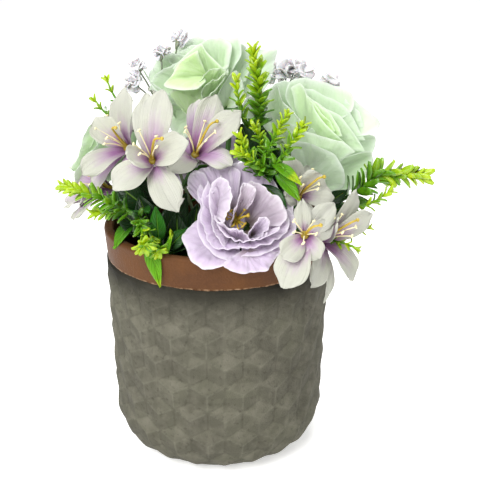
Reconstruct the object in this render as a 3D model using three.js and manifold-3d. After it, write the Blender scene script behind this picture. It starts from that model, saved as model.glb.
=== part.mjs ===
// A concrete pot with a copper-painted collar, filled with an arrangement of silk and plastic flowers:
// mint roses, lilac lisianthus, white and lilac lilies, lime sprigs, leafy stems and sprays of
// baby's breath, all standing in a block of foam. Millimetres, +Z up, origin under the middle of the pot.
// The arrangement's front faces -Y.

import * as THREE from "three";
import { mergeVertices } from "three/addons/utils/BufferGeometryUtils.js";
import Module from "manifold-3d";

const wasm = await Module();
wasm.setup();

// ---------------------------------------------------------------- driving dimensions

const POT_HEIGHT = 137;
const RIM_RADIUS = 65; // outside of the collar at the top
const SIDE_FOOT_RADIUS = 61.5; // where the side meets the rounded bottom edge
const EDGE_ROUND = 26; // radius of the rounded bottom edge
const WALL = 5;
const FLOOR = 8;
const COLLAR_HEIGHT = 18.7;
const COLLAR_TUCK = 0.8; // how far the collar's lower edge lies inside the line of the side
const LIP = 1.5; // rounding of the rim

const CELLS_ROUND = 20; // cube figures round the pot
const CELL_ROW_PITCH = 16.2; // from one row of cubes to the next, along the side
const FIRST_ROW_DOWN = 7.8; // from the collar's lower edge to the middle of the first row of stars
const RELIEF = 0.95; // how far a cube's corners stand out of, or sink into, the side
const CELL_PHASE = 0.052; // radians, turns the pattern to where it lies at the front

const FOAM_TOP = 112;
const STICK_DEPTH = 30; // how deep each stem goes into the foam
const GAP = 0.35; // clearance between pieces that touch

const STEM_RADIUS = 1.5;
const TWIG_RADIUS = 1;
const STEM_SIDES = 5;
const TWIG_SIDES = 4;
const BLADE = 0.7; // thickness of petals and leaves
const FINEST = 0.03; // detail smaller than this is merged away where solids are joined

const FRONT = new THREE.Vector3(0, -1, 0);
const UP = new THREE.Vector3(0, 0, 1);
const GOLDEN_TURN = Math.PI * (3 - Math.sqrt(5));
const rad = THREE.MathUtils.degToRad;

// ---------------------------------------------------------------- solids and meshes

// A closed three.js geometry as a manifold-3d solid, facing out.
function solidOf(geometry) {
  const bare = geometry.index ? geometry.toNonIndexed() : geometry.clone();
  bare.deleteAttribute("normal");
  bare.deleteAttribute("uv");
  const merged = mergeVertices(bare, 1e-4);
  const triVerts = new Uint32Array(merged.index.array);
  const build = () =>
    new wasm.Manifold(
      new wasm.Mesh({
        numProp: 3,
        vertProperties: merged.attributes.position.array,
        triVerts,
      }),
    );
  const made = build();
  if (made.volume() > 0) return made;
  for (let i = 0; i < triVerts.length; i += 3) {
    [triVerts[i + 1], triVerts[i + 2]] = [triVerts[i + 2], triVerts[i + 1]];
  }
  return build();
}

function geometryOf(solid) {
  const { vertProperties, triVerts } = solid.getMesh();
  const geometry = new THREE.BufferGeometry();
  geometry.setAttribute("position", new THREE.BufferAttribute(vertProperties, 3));
  geometry.setIndex(new THREE.BufferAttribute(triVerts, 1));
  geometry.computeVertexNormals();
  return geometry;
}

// All the solids joined, without slivers or loose scraps.
function joined(solids) {
  const whole = solids.reduce((sum, next) => sum.add(next)).simplify(FINEST);
  const bodies = whole.decompose();
  return bodies.reduce((best, next) => (next.volume() > best.volume() ? next : best));
}

const finishes = {
  concrete: { color: 0x77746a, roughness: 0.9, metalness: 0 },
  foam: { color: 0x1f3320, roughness: 1, metalness: 0 },
  mint: { color: 0xc4e3b4, roughness: 0.7, metalness: 0 },
  lilac: { color: 0xd9c4de, roughness: 0.7, metalness: 0 },
  lily: { color: 0xdfdfd2, roughness: 0.7, metalness: 0 },
  stamen: { color: 0xd2b24a, roughness: 0.5, metalness: 0 },
  stem: { color: 0x3f6b1e, roughness: 0.5, metalness: 0 },
  sprig: { color: 0x8fb810, roughness: 0.45, metalness: 0 },
  leaf: { color: 0x2f7a1c, roughness: 0.5, metalness: 0 },
  pearl: { color: 0xd5d6d4, roughness: 0.6, metalness: 0 },
};
for (const key of Object.keys(finishes)) {
  finishes[key] = new THREE.MeshStandardMaterial(finishes[key]);
}

const arrangement = new THREE.Group();
const placed = []; // what stands in the pot so far, so that later pieces are bent clear of it

function place(name, solid, finish) {
  const mesh = new THREE.Mesh(geometryOf(solid), finishes[finish]);
  mesh.name = name;
  arrangement.add(mesh);
  placed.push({ name, solid, box: solid.boundingBox() });
}

function boxesMeet(a, b) {
  return [0, 1, 2].every((k) => a.min[k] < b.max[k] && b.min[k] < a.max[k]);
}

// Whether a solid overlaps nothing that is placed, apart from the named piece it grows out of.
function isClear(solid, except = "") {
  const box = solid.boundingBox();
  return placed.every(
    (other) =>
      other.name === except || !boxesMeet(box, other.box) || solid.intersect(other.solid).volume() < 1e-6,
  );
}

// ---------------------------------------------------------------- blades, tubes and frames

// A sheet surface(u, v), u from -1 to 1 across and v from 0 to 1 along, as a closed blade.
// Both faces are split into the same triangles. An end that is pinched to a point stays one point.
function blade(surface, columns, rows, thickness = BLADE) {
  const sheet = new THREE.PlaneGeometry(2, 1, columns, rows);
  const grid = sheet.getAttribute("position");
  const half = thickness / 2;
  const nudge = 1e-3;
  const inward = 0.06;
  const normalAt = (u, v) => {
    const across = surface(u + nudge, v).sub(surface(u - nudge, v));
    const along = surface(u, v + nudge).sub(surface(u, v - nudge));
    return across.cross(along).normalize().multiplyScalar(half);
  };
  const front = [];
  const back = [];
  for (let i = 0; i < grid.count; i++) {
    const u = grid.getX(i);
    const v = grid.getY(i) + 0.5;
    const inside = THREE.MathUtils.clamp(v, inward, 1 - inward);
    const pinched = surface(-1, v).distanceTo(surface(1, v)) < 1e-6;
    const normal = pinched ? normalAt(0, inside) : normalAt(u, inside);
    const point = surface(pinched ? 0 : u, v);
    front.push(...point.clone().add(normal).toArray());
    back.push(...point.clone().sub(normal).toArray());
  }
  const corner = (column, row) => row * (columns + 1) + column;
  const border = [];
  for (let c = 0; c < columns; c++) border.push(corner(c, rows));
  for (let r = rows; r > 0; r--) border.push(corner(columns, r));
  for (let c = columns; c > 0; c--) border.push(corner(c, 0));
  for (let r = 0; r < rows; r++) border.push(corner(0, r));
  const faces = [...sheet.index.array];
  for (let i = 0; i < sheet.index.count; i += 3) {
    const [a, b, c] = sheet.index.array.slice(i, i + 3);
    faces.push(a + grid.count, c + grid.count, b + grid.count);
  }
  border.forEach((a, i) => {
    const b = border[(i + 1) % border.length];
    faces.push(a, a + grid.count, b + grid.count, a, b + grid.count, b);
  });
  const geometry = new THREE.BufferGeometry();
  geometry.setAttribute("position", new THREE.Float32BufferAttribute([...front, ...back], 3));
  geometry.setIndex(faces);
  return geometry;
}

// Outlines give the half width of a petal or leaf, as a share of its widest, from its foot, a point, to its tip.
const outlines = {
  round: (v) => Math.sin(0.68 * Math.PI * v ** 1.1),
  lily: (v) => Math.sin(0.87 * Math.PI * v ** 1.15) ** 1.1,
  leaf: (v) => Math.abs(Math.sin(Math.PI * v ** 0.9)),
};

// The sheet of one petal or leaf. It starts at radius foot and height lift from the flower's axis, rises at
// an angle above the flower's plane, turns by bend on its way and by roll near its tip. Across it is curved by
// wrap at its foot and by cup at its tip, and one edge lies further out than the other by tilt.
function petalSheet(shape) {
  const { azimuth, foot, lift, rise, bend, roll, length, width } = shape;
  const { wrap, cup, crown, tilt, ruffle, waves, outline } = shape;
  const slices = 8;
  const angleAt = (t) => rise + bend * t + roll * t ** 4;
  return (u, v) => {
    const along = v * (1 - crown * u * u);
    let radius = foot;
    let height = lift;
    for (let i = 0; i < slices; i++) {
      const angle = angleAt(((i + 0.5) / slices) * along);
      radius += (Math.cos(angle) * length * along) / slices;
      height += (Math.sin(angle) * length * along) / slices;
    }
    const angle = angleAt(along);
    const across = u * (width / 2) * outlines[outline](v);
    const wave = ruffle * v * v * Math.sin(waves * Math.PI * u + azimuth);
    const curl = wrap + (cup - wrap) * Math.min(1, 1.6 * v);
    const rising = (1 - Math.cos(across * curl)) / curl + tilt * u * outlines[outline](v) + wave;
    const point = new THREE.Vector3(
      radius - Math.sin(angle) * rising,
      Math.sin(across * curl) / curl,
      height + Math.cos(angle) * rising,
    );
    return point.applyAxisAngle(UP, azimuth);
  };
}

// The frame of a flower: foot at the given place, z along its facing, y as near straight up as that allows.
function standing(at, facing) {
  const z = new THREE.Vector3(...facing).normalize();
  const x = new THREE.Vector3().crossVectors(UP, z).normalize();
  const y = new THREE.Vector3().crossVectors(z, x);
  return new THREE.Matrix4().makeBasis(x, y, z).setPosition(...at);
}

// The frame of a leaf: x along the way it points, z as near to the given side as that allows.
function lying(at, pointing, side) {
  const x = new THREE.Vector3(...pointing).normalize();
  const y = new THREE.Vector3().crossVectors(side, x).normalize();
  const z = new THREE.Vector3().crossVectors(x, y);
  return new THREE.Matrix4().makeBasis(x, y, z).setPosition(...at);
}

// Rings of a few sides threaded on a line of points, each with its own radius; radius 0 closes in a point.
// Where spikes has an entry for a ring, every other corner of it is drawn out, and forward along the line.
function threaded(points, radii, sides, spikes = []) {
  const last = points.length - 1;
  const profile = [[0, 0], ...radii.map((radius, k) => [radius, k]), [0, last]];
  const geometry = new THREE.LatheGeometry(profile.map(([r, k]) => new THREE.Vector2(r, k)), sides);
  const first = points[1].clone().sub(points[0]).normalize();
  const side = Math.abs(first.x) < 0.8 ? new THREE.Vector3(1, 0, 0) : new THREE.Vector3(0, 0, 1);
  const frames = points.map((point, k) => {
    const along = points[Math.min(last, k + 1)].clone().sub(points[Math.max(0, k - 1)]).normalize();
    side.addScaledVector(along, -side.dot(along)).normalize();
    const over = new THREE.Vector3().crossVectors(side, along);
    return new THREE.Matrix4().makeBasis(side, along, over).setPosition(point);
  });
  const corners = geometry.getAttribute("position");
  for (let i = 0; i < corners.count; i++) {
    const corner = new THREE.Vector3().fromBufferAttribute(corners, i);
    const ring = Math.round(corner.y);
    const spike = spikes[ring];
    corner.setY(0);
    if (spike && Math.floor(i / profile.length) % 2 === spike.parity) {
      corner.setLength(spike.out).setY(spike.forward);
    }
    corners.setXYZ(i, ...corner.applyMatrix4(frames[ring]).toArray());
  }
  return solidOf(geometry);
}

const vector = (values) => new THREE.Vector3(...values);
const curveThrough = (points) => new THREE.CatmullRomCurve3(points.map(vector));

// The foot of a stem: it stands upright in a plain hole in the foam.
const holes = [];
function footIn([x, y], radius, sides) {
  const foot = [new THREE.Vector3(x, y, FOAM_TOP - STICK_DEPTH), new THREE.Vector3(x, y, FOAM_TOP + 1.5)];
  const bore = [foot[0].clone().setZ(foot[0].z - GAP), foot[1].clone().setZ(foot[1].z + 1)];
  holes.push(threaded(bore, [radius + GAP + 0.1, radius + GAP + 0.1], sides));
  return foot;
}

// A stem from its hole to the foot of a flower, which it meets straight on, with the green cup under the flower.
function stemTo(hole, at, facing, size) {
  const away = vector(facing).normalize();
  const below = (distance) => vector(at).addScaledVector(away, -distance);
  const foot = footIn(hole, STEM_RADIUS, STEM_SIDES);
  const curve = new THREE.CatmullRomCurve3([foot[1], below(16), below(7 * size)]);
  const points = [...foot, curve.getPoint(0.3), curve.getPoint(0.65), below(7 * size), below(GAP)];
  const radii = [...Array(points.length - 1).fill(STEM_RADIUS), 4.8 * size];
  return threaded(points, radii, STEM_SIDES);
}

// ---------------------------------------------------------------- the pot

const sideTop = POT_HEIGHT - COLLAR_HEIGHT;
const sideTopRadius =
  SIDE_FOOT_RADIUS + ((RIM_RADIUS - SIDE_FOOT_RADIUS) * (sideTop - EDGE_ROUND)) / (POT_HEIGHT - EDGE_ROUND);
const sideLength = Math.hypot(sideTop - EDGE_ROUND, sideTopRadius - SIDE_FOOT_RADIUS);
const figuredLength = sideLength + (EDGE_ROUND * Math.PI) / 2;

// The side's radius and height at a distance down it from the collar, moved out by "proud".
function sideAt(down, proud) {
  if (down <= sideLength) {
    const share = down / sideLength;
    return [
      sideTopRadius + (SIDE_FOOT_RADIUS - sideTopRadius) * share + proud,
      sideTop + (EDGE_ROUND - sideTop) * share,
    ];
  }
  const turn = (down - sideLength) / EDGE_ROUND;
  const reach = EDGE_ROUND + proud;
  return [SIDE_FOOT_RADIUS - EDGE_ROUND + reach * Math.cos(turn), EDGE_ROUND - reach * Math.sin(turn)];
}

// The tumbling-block relief is a lattice of triangles with a point of each kind at its corners: the middle of a
// star, a corner that stands out and a corner that is sunk. Columns of points stand half a cell apart, and
// every other column is shifted by half a step.
function potSkin() {
  const columns = 2 * CELLS_ROUND;
  const step = CELL_ROW_PITCH / 1.5;
  const steps = Math.floor(figuredLength / step);
  const figured = (column) => {
    const shift = column % 2 ? 0 : 0.5;
    const kinds = column % 2 ? [0, -RELIEF, RELIEF] : [RELIEF, 0, -RELIEF];
    const rows = [sideAt(0, 0)];
    for (let m = 0; m < steps; m++) {
      const down = FIRST_ROW_DOWN + (m + shift) * step;
      const fade = Math.min(1, (figuredLength - down) / step);
      rows.push(sideAt(down, kinds[m % 3] * fade));
    }
    return [...rows, sideAt(figuredLength, 0)];
  };
  const innerFoot = SIDE_FOOT_RADIUS - WALL;
  const rimInside = RIM_RADIUS - WALL;
  const plainInside = [
    [innerFoot - EDGE_ROUND / 2, FLOOR],
    [innerFoot, EDGE_ROUND],
    [rimInside, POT_HEIGHT],
    [RIM_RADIUS - LIP, POT_HEIGHT],
    [RIM_RADIUS, POT_HEIGHT - LIP],
    [sideTopRadius - COLLAR_TUCK, sideTop + COLLAR_TUCK],
  ];
  const points = [0, 0, FLOOR];
  const ringCount = plainInside.length + steps + 2;
  for (let c = 0; c < columns; c++) {
    const turn = CELL_PHASE - Math.PI / 2 + (2 * Math.PI * c) / columns;
    for (const [radius, z] of [...plainInside, ...figured(c)]) {
      points.push(radius * Math.cos(turn), radius * Math.sin(turn), z);
    }
  }
  points.push(0, 0, 0);
  const at = (column, ring) => 1 + (column % columns) * ringCount + ring;
  const underside = points.length / 3 - 1;
  const faces = [];
  for (let c = 0; c < columns; c++) {
    faces.push(0, at(c, 0), at(c + 1, 0));
    faces.push(underside, at(c + 1, ringCount - 1), at(c, ringCount - 1));
    for (let r = 0; r < ringCount - 1; r++) {
      const [a, b, d, e] = [at(c, r), at(c + 1, r), at(c, r + 1), at(c + 1, r + 1)];
      if (c % 2) faces.push(a, d, b, b, d, e);
      else faces.push(a, d, e, a, e, b);
    }
  }
  const geometry = new THREE.BufferGeometry();
  geometry.setAttribute("position", new THREE.Float32BufferAttribute(points, 3));
  geometry.setIndex(faces);
  return solidOf(geometry);
}

// The foam block fills the pot to below the rim. Its holes are cut once every stem is known.
function foamBlock() {
  const innerFoot = SIDE_FOOT_RADIUS - WALL;
  const shrink = 2 * GAP;
  const slope = (RIM_RADIUS - SIDE_FOOT_RADIUS) / (POT_HEIGHT - EDGE_ROUND);
  const profile = [
    [0, FLOOR + GAP],
    [innerFoot - EDGE_ROUND / 2 - shrink, FLOOR + GAP],
    [innerFoot - shrink, EDGE_ROUND],
    [innerFoot + slope * (FOAM_TOP - EDGE_ROUND) - shrink, FOAM_TOP],
    [0, FOAM_TOP],
  ].map(([r, z]) => new THREE.Vector2(r, z));
  const block = new THREE.LatheGeometry(profile, CELLS_ROUND);
  return solidOf(block.rotateX(Math.PI / 2));
}

// ---------------------------------------------------------------- flower heads

// Each ring of petals in a head: how many, the columns and rows of each blade, then its shape.
const ROSE_RINGS = [
  { count: 3, mesh: [2, 2], foot: 5.2, lift: 10, rise: 62, bend: 40, roll: -20, length: 19, width: 21, cup: 0.11 },
  { count: 4, mesh: [2, 2], foot: 5.2, lift: 6, rise: 45, bend: 32, roll: -45, length: 29, width: 34, cup: 0.055 },
  { count: 5, mesh: [3, 2], foot: 5.2, lift: 2, rise: 18, bend: 32, roll: -55, length: 35, width: 41, cup: 0.03 },
];
const LISIANTHUS_RINGS = [
  { count: 3, mesh: [2, 2], foot: 4.8, lift: 8, rise: 56, bend: 26, roll: -40, length: 17, width: 23, cup: 0.08 },
  { count: 4, mesh: [3, 2], foot: 4.8, lift: 5, rise: 32, bend: 30, roll: -50, length: 25, width: 35, cup: 0.03 },
  { count: 5, mesh: [3, 2], foot: 4.8, lift: 2, rise: 6, bend: 30, roll: -50, length: 31, width: 38, cup: 0.02 },
];
const LILY_RINGS = [
  { count: 3, mesh: [2, 2], foot: 1, lift: 5, rise: 62, bend: -38, roll: -30, length: 38, width: 20, cup: 0.04 },
  { count: 3, mesh: [2, 2], foot: 1, lift: 1.6, rise: 52, bend: -34, roll: -30, length: 40, width: 17, cup: 0.04 },
];

// The ways a petal may lie to be clear of its neighbours, the least changed first: bent up or down and turned
// aside, in degrees, and shortened.
const LENGTH_SHARES = [1, 0.86, 0.72];
const EASINGS = [0, 7, -7, 14, -14, 22, -22, 32, -32, 44];
const TWISTS = [0, 8, -8, 16, -16];
const LAYS = LENGTH_SHARES.flatMap((share) =>
  EASINGS.flatMap((easing) => TWISTS.map((twist) => ({ share, easing, twist }))),
);
const change = ({ share, easing, twist }) => Math.abs(easing) + Math.abs(twist) + 120 * (1 - share);
LAYS.sort((a, b) => change(a) - change(b));

// The petals of a head, in its frame, each in the first lay that is clear of what is placed already.
function petalsOf(rings, frame, look) {
  const found = [];
  rings.forEach((ring, index) => {
    for (let i = 0; i < ring.count; i++) {
      const azimuth = look.turn + (2 * Math.PI * (i + 0.5 * index)) / ring.count;
      const petal = ({ share, easing, twist }, thickness) => {
        const sheet = petalSheet({
          ...look,
          ...ring,
          azimuth: azimuth + rad(twist),
          rise: rad(ring.rise + easing),
          bend: rad(ring.bend),
          roll: rad(ring.roll),
          foot: ring.foot * look.size,
          lift: ring.lift * look.size,
          length: ring.length * look.size * share,
          width: ring.width * look.size * (0.4 + 0.6 * share),
        });
        return solidOf(blade(sheet, ...ring.mesh, thickness).applyMatrix4(frame));
      };
      const lay = LAYS.find((candidate) => isClear(petal(candidate, BLADE + 2 * GAP)));
      if (lay) found.push(petal(lay, BLADE));
    }
  });
  return found;
}

function turned(profile, sides, frame) {
  const geometry = new THREE.LatheGeometry(
    profile.map(([r, z]) => new THREE.Vector2(r, z)),
    sides,
  );
  return solidOf(geometry.rotateX(Math.PI / 2).applyMatrix4(frame));
}

// What a head's petals grow from: a low cone, with the closed bud on it for a rose.
const roseHeart = [[0, 0], [6.5, 0], [7.5, 13], [5.5, 21], [0, 26]];
const lisianthusHeart = [[0, 0], [6, 0], [7, 10], [0, 10]];
const lilyHeart = [[0, 0], [3.6, 0], [5, 6.5], [0, 6.5]];
const scaled = (profile, size) => profile.map(([r, z]) => [r * size, z * size]);

// The sepals under a head.
function sepals(frame, size) {
  return Array.from({ length: 5 }, (_, i) => {
    const sheet = petalSheet({
      azimuth: (2 * Math.PI * (i + 0.5)) / 5,
      foot: 1,
      lift: -2.2,
      rise: rad(-14),
      bend: rad(-26),
      roll: 0,
      length: 13 * size,
      width: 6 * size,
      wrap: 0.05,
      cup: 0.05,
      crown: 0,
      tilt: 0,
      ruffle: 0,
      waves: 0,
      outline: "leaf",
    });
    return solidOf(blade(sheet, 1, 2).applyMatrix4(frame));
  });
}

// Roses and lisianthus: foot of the head, the way it faces, its turn about that way, its size and its hole.
const ROSES = [
  { name: "rose_top", at: [0, 23, 197], facing: [-0.25, -0.6, 0.75], turn: 0.2, size: 1.05, hole: [0, 14] },
  { name: "rose_right", at: [52, -1, 178], facing: [0.3, -0.72, 0.6], turn: 1.1, size: 1.04, hole: [26, 0] },
  { name: "rose_left", at: [-44, 26, 163], facing: [-0.85, 0, 0.5], turn: 0.5, size: 0.95, hole: [-22, 16] },
  { name: "rose_back", at: [38, 40, 166], facing: [0.55, 0.65, 0.55], turn: 0.9, size: 0.95, hole: [18, 26] },
];
const LISIANTHUS = [
  { name: "lisianthus_front", at: [9, -46, 151], facing: [0.04, -0.85, 0.5], turn: 0.3, size: 0.95, hole: [8, -34] },
  { name: "lisianthus_back", at: [-12, 50, 152], facing: [-0.1, 0.85, 0.5], turn: 0.8, size: 0.95, hole: [-6, 34] },
];
// Lilies come on three forked stems.
const LILY_SPRAYS = [
  {
    name: "lily_stem_left",
    hole: [-20, -14],
    fork: [-26, -20, 150],
    lilies: [
      { name: "lily_left", at: [-48, -13, 179], facing: [-0.65, -0.65, 0.35], turn: 0.5, size: 0.92 },
      { name: "lily_middle", at: [-32, -38, 177], facing: [-0.25, -0.75, 0.5], turn: 0.9, size: 0.92 },
      { name: "lily_upper", at: [-12, -27, 178], facing: [0.22, -0.6, 0.75], turn: 0.35, size: 0.88 },
    ],
  },
  {
    name: "lily_stem_right",
    hole: [28, -24],
    fork: [33, -32, 141],
    lilies: [
      { name: "lily_low_right", at: [51, -46, 143], facing: [0.8, -0.5, 0.25], turn: 0.4, size: 0.82 },
      { name: "lily_low_front", at: [42, -64, 147], facing: [0.03, -0.9, 0.3], turn: 0.8, size: 0.72 },
      { name: "lily_under_rose", at: [46, -37, 164], facing: [0.3, -0.85, 0.35], turn: 0.2, size: 0.68 },
    ],
  },
  {
    name: "lily_stem_back",
    hole: [-32, 26],
    fork: [-42, 30, 142],
    lilies: [
      { name: "lily_far_left", at: [-58, 4, 154], facing: [-0.9, -0.35, 0.25], turn: 0.1, size: 0.78 },
      { name: "lily_back", at: [-16, 58, 188], facing: [-0.1, 0.7, 0.7], turn: 0.2, size: 0.86 },
    ],
  },
];

function makeStems() {
  for (const flower of [...ROSES, ...LISIANTHUS]) {
    const { name, at, facing, size, hole } = flower;
    place(`${name}_stem`, joined([stemTo(hole, at, facing, size), ...sepals(standing(at, facing), size)]), "stem");
  }
  for (const { name, hole, fork, lilies } of LILY_SPRAYS) {
    const foot = footIn(hole, STEM_RADIUS, STEM_SIDES);
    const parts = [threaded([...foot, vector(fork)], [STEM_RADIUS, STEM_RADIUS, STEM_RADIUS], STEM_SIDES)];
    for (const { at, facing, size } of lilies) {
      const away = vector(facing).normalize();
      const below = (distance) => vector(at).addScaledVector(away, -distance);
      const curve = new THREE.CatmullRomCurve3([vector(fork), below(14), below(6)]);
      const points = [curve.getPoint(0), curve.getPoint(0.35), curve.getPoint(0.7), below(6), below(GAP)];
      parts.push(threaded(points, [1.2, 1.2, 1.2, 1.2, 3.4 * size], TWIG_SIDES));
    }
    place(name, joined(parts), "stem");
  }
}

function makeRoses() {
  for (const rose of ROSES) {
    const frame = standing(rose.at, rose.facing);
    const look = { ...rose, wrap: 0.12, crown: 0.2, tilt: 2, ruffle: 0, waves: 0, outline: "round" };
    const petals = petalsOf(ROSE_RINGS, frame, look);
    place(`${rose.name}_petals`, joined([turned(scaled(roseHeart, rose.size), 6, frame), ...petals]), "mint");
  }
}

function makeLisianthus() {
  for (const bloom of LISIANTHUS) {
    const frame = standing(bloom.at, bloom.facing);
    const floor = 10 * bloom.size + GAP;
    place(`${bloom.name}_stamens`, joined(stamens(frame, floor, 5, 8, 34)), "stamen");
    const look = { ...bloom, wrap: 0.12, crown: 0.14, tilt: 1.8, ruffle: 0.8, waves: 1.6, outline: "round" };
    const petals = petalsOf(LISIANTHUS_RINGS, frame, look);
    const heart = turned(scaled(lisianthusHeart, bloom.size), 6, frame);
    place(`${bloom.name}_petals`, joined([heart, ...petals]), "lilac");
  }
}

// A tuft of filaments on a small foot: how many, their length and how far they lean out, in degrees. Each
// filament ends in an anther.
function stamens(frame, floor, count, length, lean) {
  const base = turned([[0, floor], [2.4, floor], [1.6, floor + 2], [0, floor + 2]], 4, frame);
  const filaments = Array.from({ length: count }, (_, i) => {
    const turn = i * GOLDEN_TURN;
    const tilt = rad(i ? lean * (0.8 + 0.2 * Math.sin(3 * i)) : 4);
    const reach = length * (i ? 1 : 1.15);
    const points = [0, 0.8, 0.88, 1].map((share) => {
      const out = 0.7 + reach * share * Math.sin(tilt * share);
      const up = floor + 1 + reach * share;
      return new THREE.Vector3(out * Math.cos(turn), out * Math.sin(turn), up).applyMatrix4(frame);
    });
    return threaded(points, [0.6, 0.5, 1.4, 0], 3);
  });
  return [base, ...filaments];
}

function makeLilies() {
  const lilies = LILY_SPRAYS.flatMap((spray) => spray.lilies);
  for (const lily of lilies) {
    const tuft = stamens(standing(lily.at, lily.facing), 6.5 * lily.size + GAP, 4, 20 * lily.size, 26);
    place(`${lily.name}_stamens`, joined(tuft), "stamen");
  }
  for (const lily of lilies) {
    const frame = standing(lily.at, lily.facing);
    const look = { ...lily, wrap: 0.16, crown: 0.1, tilt: 0, ruffle: 0, waves: 0, outline: "lily" };
    const petals = petalsOf(LILY_RINGS, frame, look);
    place(`${lily.name}_petals`, joined([turned(scaled(lilyHeart, lily.size), 6, frame), ...petals]), "lily");
  }
}

// ---------------------------------------------------------------- greenery

// Sprigs: forked stems whose branches carry lime leaflets in whorls. A branch has its route from the fork, how
// many whorls it carries and how long their leaflets are.
const SPRIGS = [
  {
    name: "sprig_tall",
    hole: [12, -4],
    fork: [21, -16, 186],
    branches: [
      { route: [[23, -20, 210], [20, -20, 237]], whorls: 9, length: 8 },
      { route: [[13, -25, 206], [10, -26, 223]], whorls: 5, length: 7 },
    ],
  },
  {
    name: "sprig_centre",
    hole: [14, -18],
    fork: [22, -34, 170],
    branches: [
      { route: [[27, -42, 190], [35, -46, 208]], whorls: 6, length: 7.5 },
      { route: [[33, -46, 186], [43, -54, 205]], whorls: 6, length: 7.5 },
      { route: [[17, -42, 184], [12, -44, 197]], whorls: 4, length: 7 },
    ],
  },
  {
    name: "sprig_right",
    hole: [38, -12],
    fork: [64, -22, 152],
    branches: [
      { route: [[84, -18, 164], [113, -12, 168]], whorls: 9, length: 8 },
      { route: [[78, -26, 153], [93, -26, 158]], whorls: 4, length: 6.5 },
      { route: [[74, -32, 144], [84, -36, 143]], whorls: 3, length: 6 },
    ],
  },
  {
    name: "sprig_far_left",
    hole: [-12, 6],
    fork: [-42, 12, 184],
    branches: [
      { route: [[-56, 12, 198], [-62, 14, 213]], whorls: 3, length: 5 },
      { route: [[-62, 8, 190], [-70, 8, 202]], whorls: 3, length: 5 },
    ],
  },
  {
    name: "sprig_low_left",
    hole: [-34, -24],
    fork: [-42, -42, 154],
    branches: [
      { route: [[-58, -44, 164], [-80, -38, 168]], whorls: 7, length: 7.5 },
      { route: [[-42, -58, 156], [-38, -72, 151]], whorls: 5, length: 6.5 },
    ],
  },
  {
    name: "sprig_back",
    hole: [8, 36],
    fork: [18, 54, 146],
    branches: [
      { route: [[22, 66, 166], [24, 74, 186]], whorls: 5, length: 8 },
      { route: [[34, 68, 142], [48, 78, 144]], whorls: 4, length: 8 },
    ],
  },
  {
    name: "sprig_back_left",
    hole: [-42, 12],
    fork: [-54, 22, 146],
    branches: [
      { route: [[-68, 26, 147], [-82, 32, 147]], whorls: 4, length: 7 },
      { route: [[-64, 40, 142], [-74, 52, 144]], whorls: 4, length: 7 },
    ],
  },
];

// A branch with whorls of three leaflets, which are closer and shorter towards its tip. Each whorl is a ring
// with every other corner drawn out to a leaflet's tip, between two plain rings.
function leafyBranch(curve, whorls, length) {
  const reach = curve.getLength();
  const twig = 0.8;
  const pointAt = (distance) => curve.getPointAt(THREE.MathUtils.clamp(distance / reach, 0, 1));
  const points = [pointAt(0)];
  const spikes = [undefined];
  for (let i = 0; i < whorls; i++) {
    const start = reach * (0.16 + 0.84 * ((i + 0.2) / whorls) ** 0.85);
    const leaflet = length * (1.1 - (0.25 * i) / whorls);
    const lean = rad(i === whorls - 1 ? 30 : 48);
    points.push(pointAt(start), pointAt(start + 0.6), pointAt(start + 1.8));
    spikes.push(undefined);
    spikes.push({ parity: i % 2, out: leaflet * Math.sin(lean), forward: leaflet * Math.cos(lean) });
    spikes.push(undefined);
  }
  points.push(pointAt(reach));
  spikes.push(undefined);
  return threaded(points, [...Array(points.length - 1).fill(twig), 0], 6, spikes);
}

function makeSprigs() {
  for (const sprig of SPRIGS) {
    const foot = footIn(sprig.hole, TWIG_RADIUS, TWIG_SIDES);
    const trunk = [...foot, vector(sprig.fork)];
    const parts = [threaded(trunk, [TWIG_RADIUS, TWIG_RADIUS, TWIG_RADIUS], TWIG_SIDES)];
    for (const branch of sprig.branches) {
      parts.push(leafyBranch(curveThrough([sprig.fork, ...branch.route]), branch.whorls, branch.length));
    }
    place(sprig.name, joined(parts), "sprig");
  }
}

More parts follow.
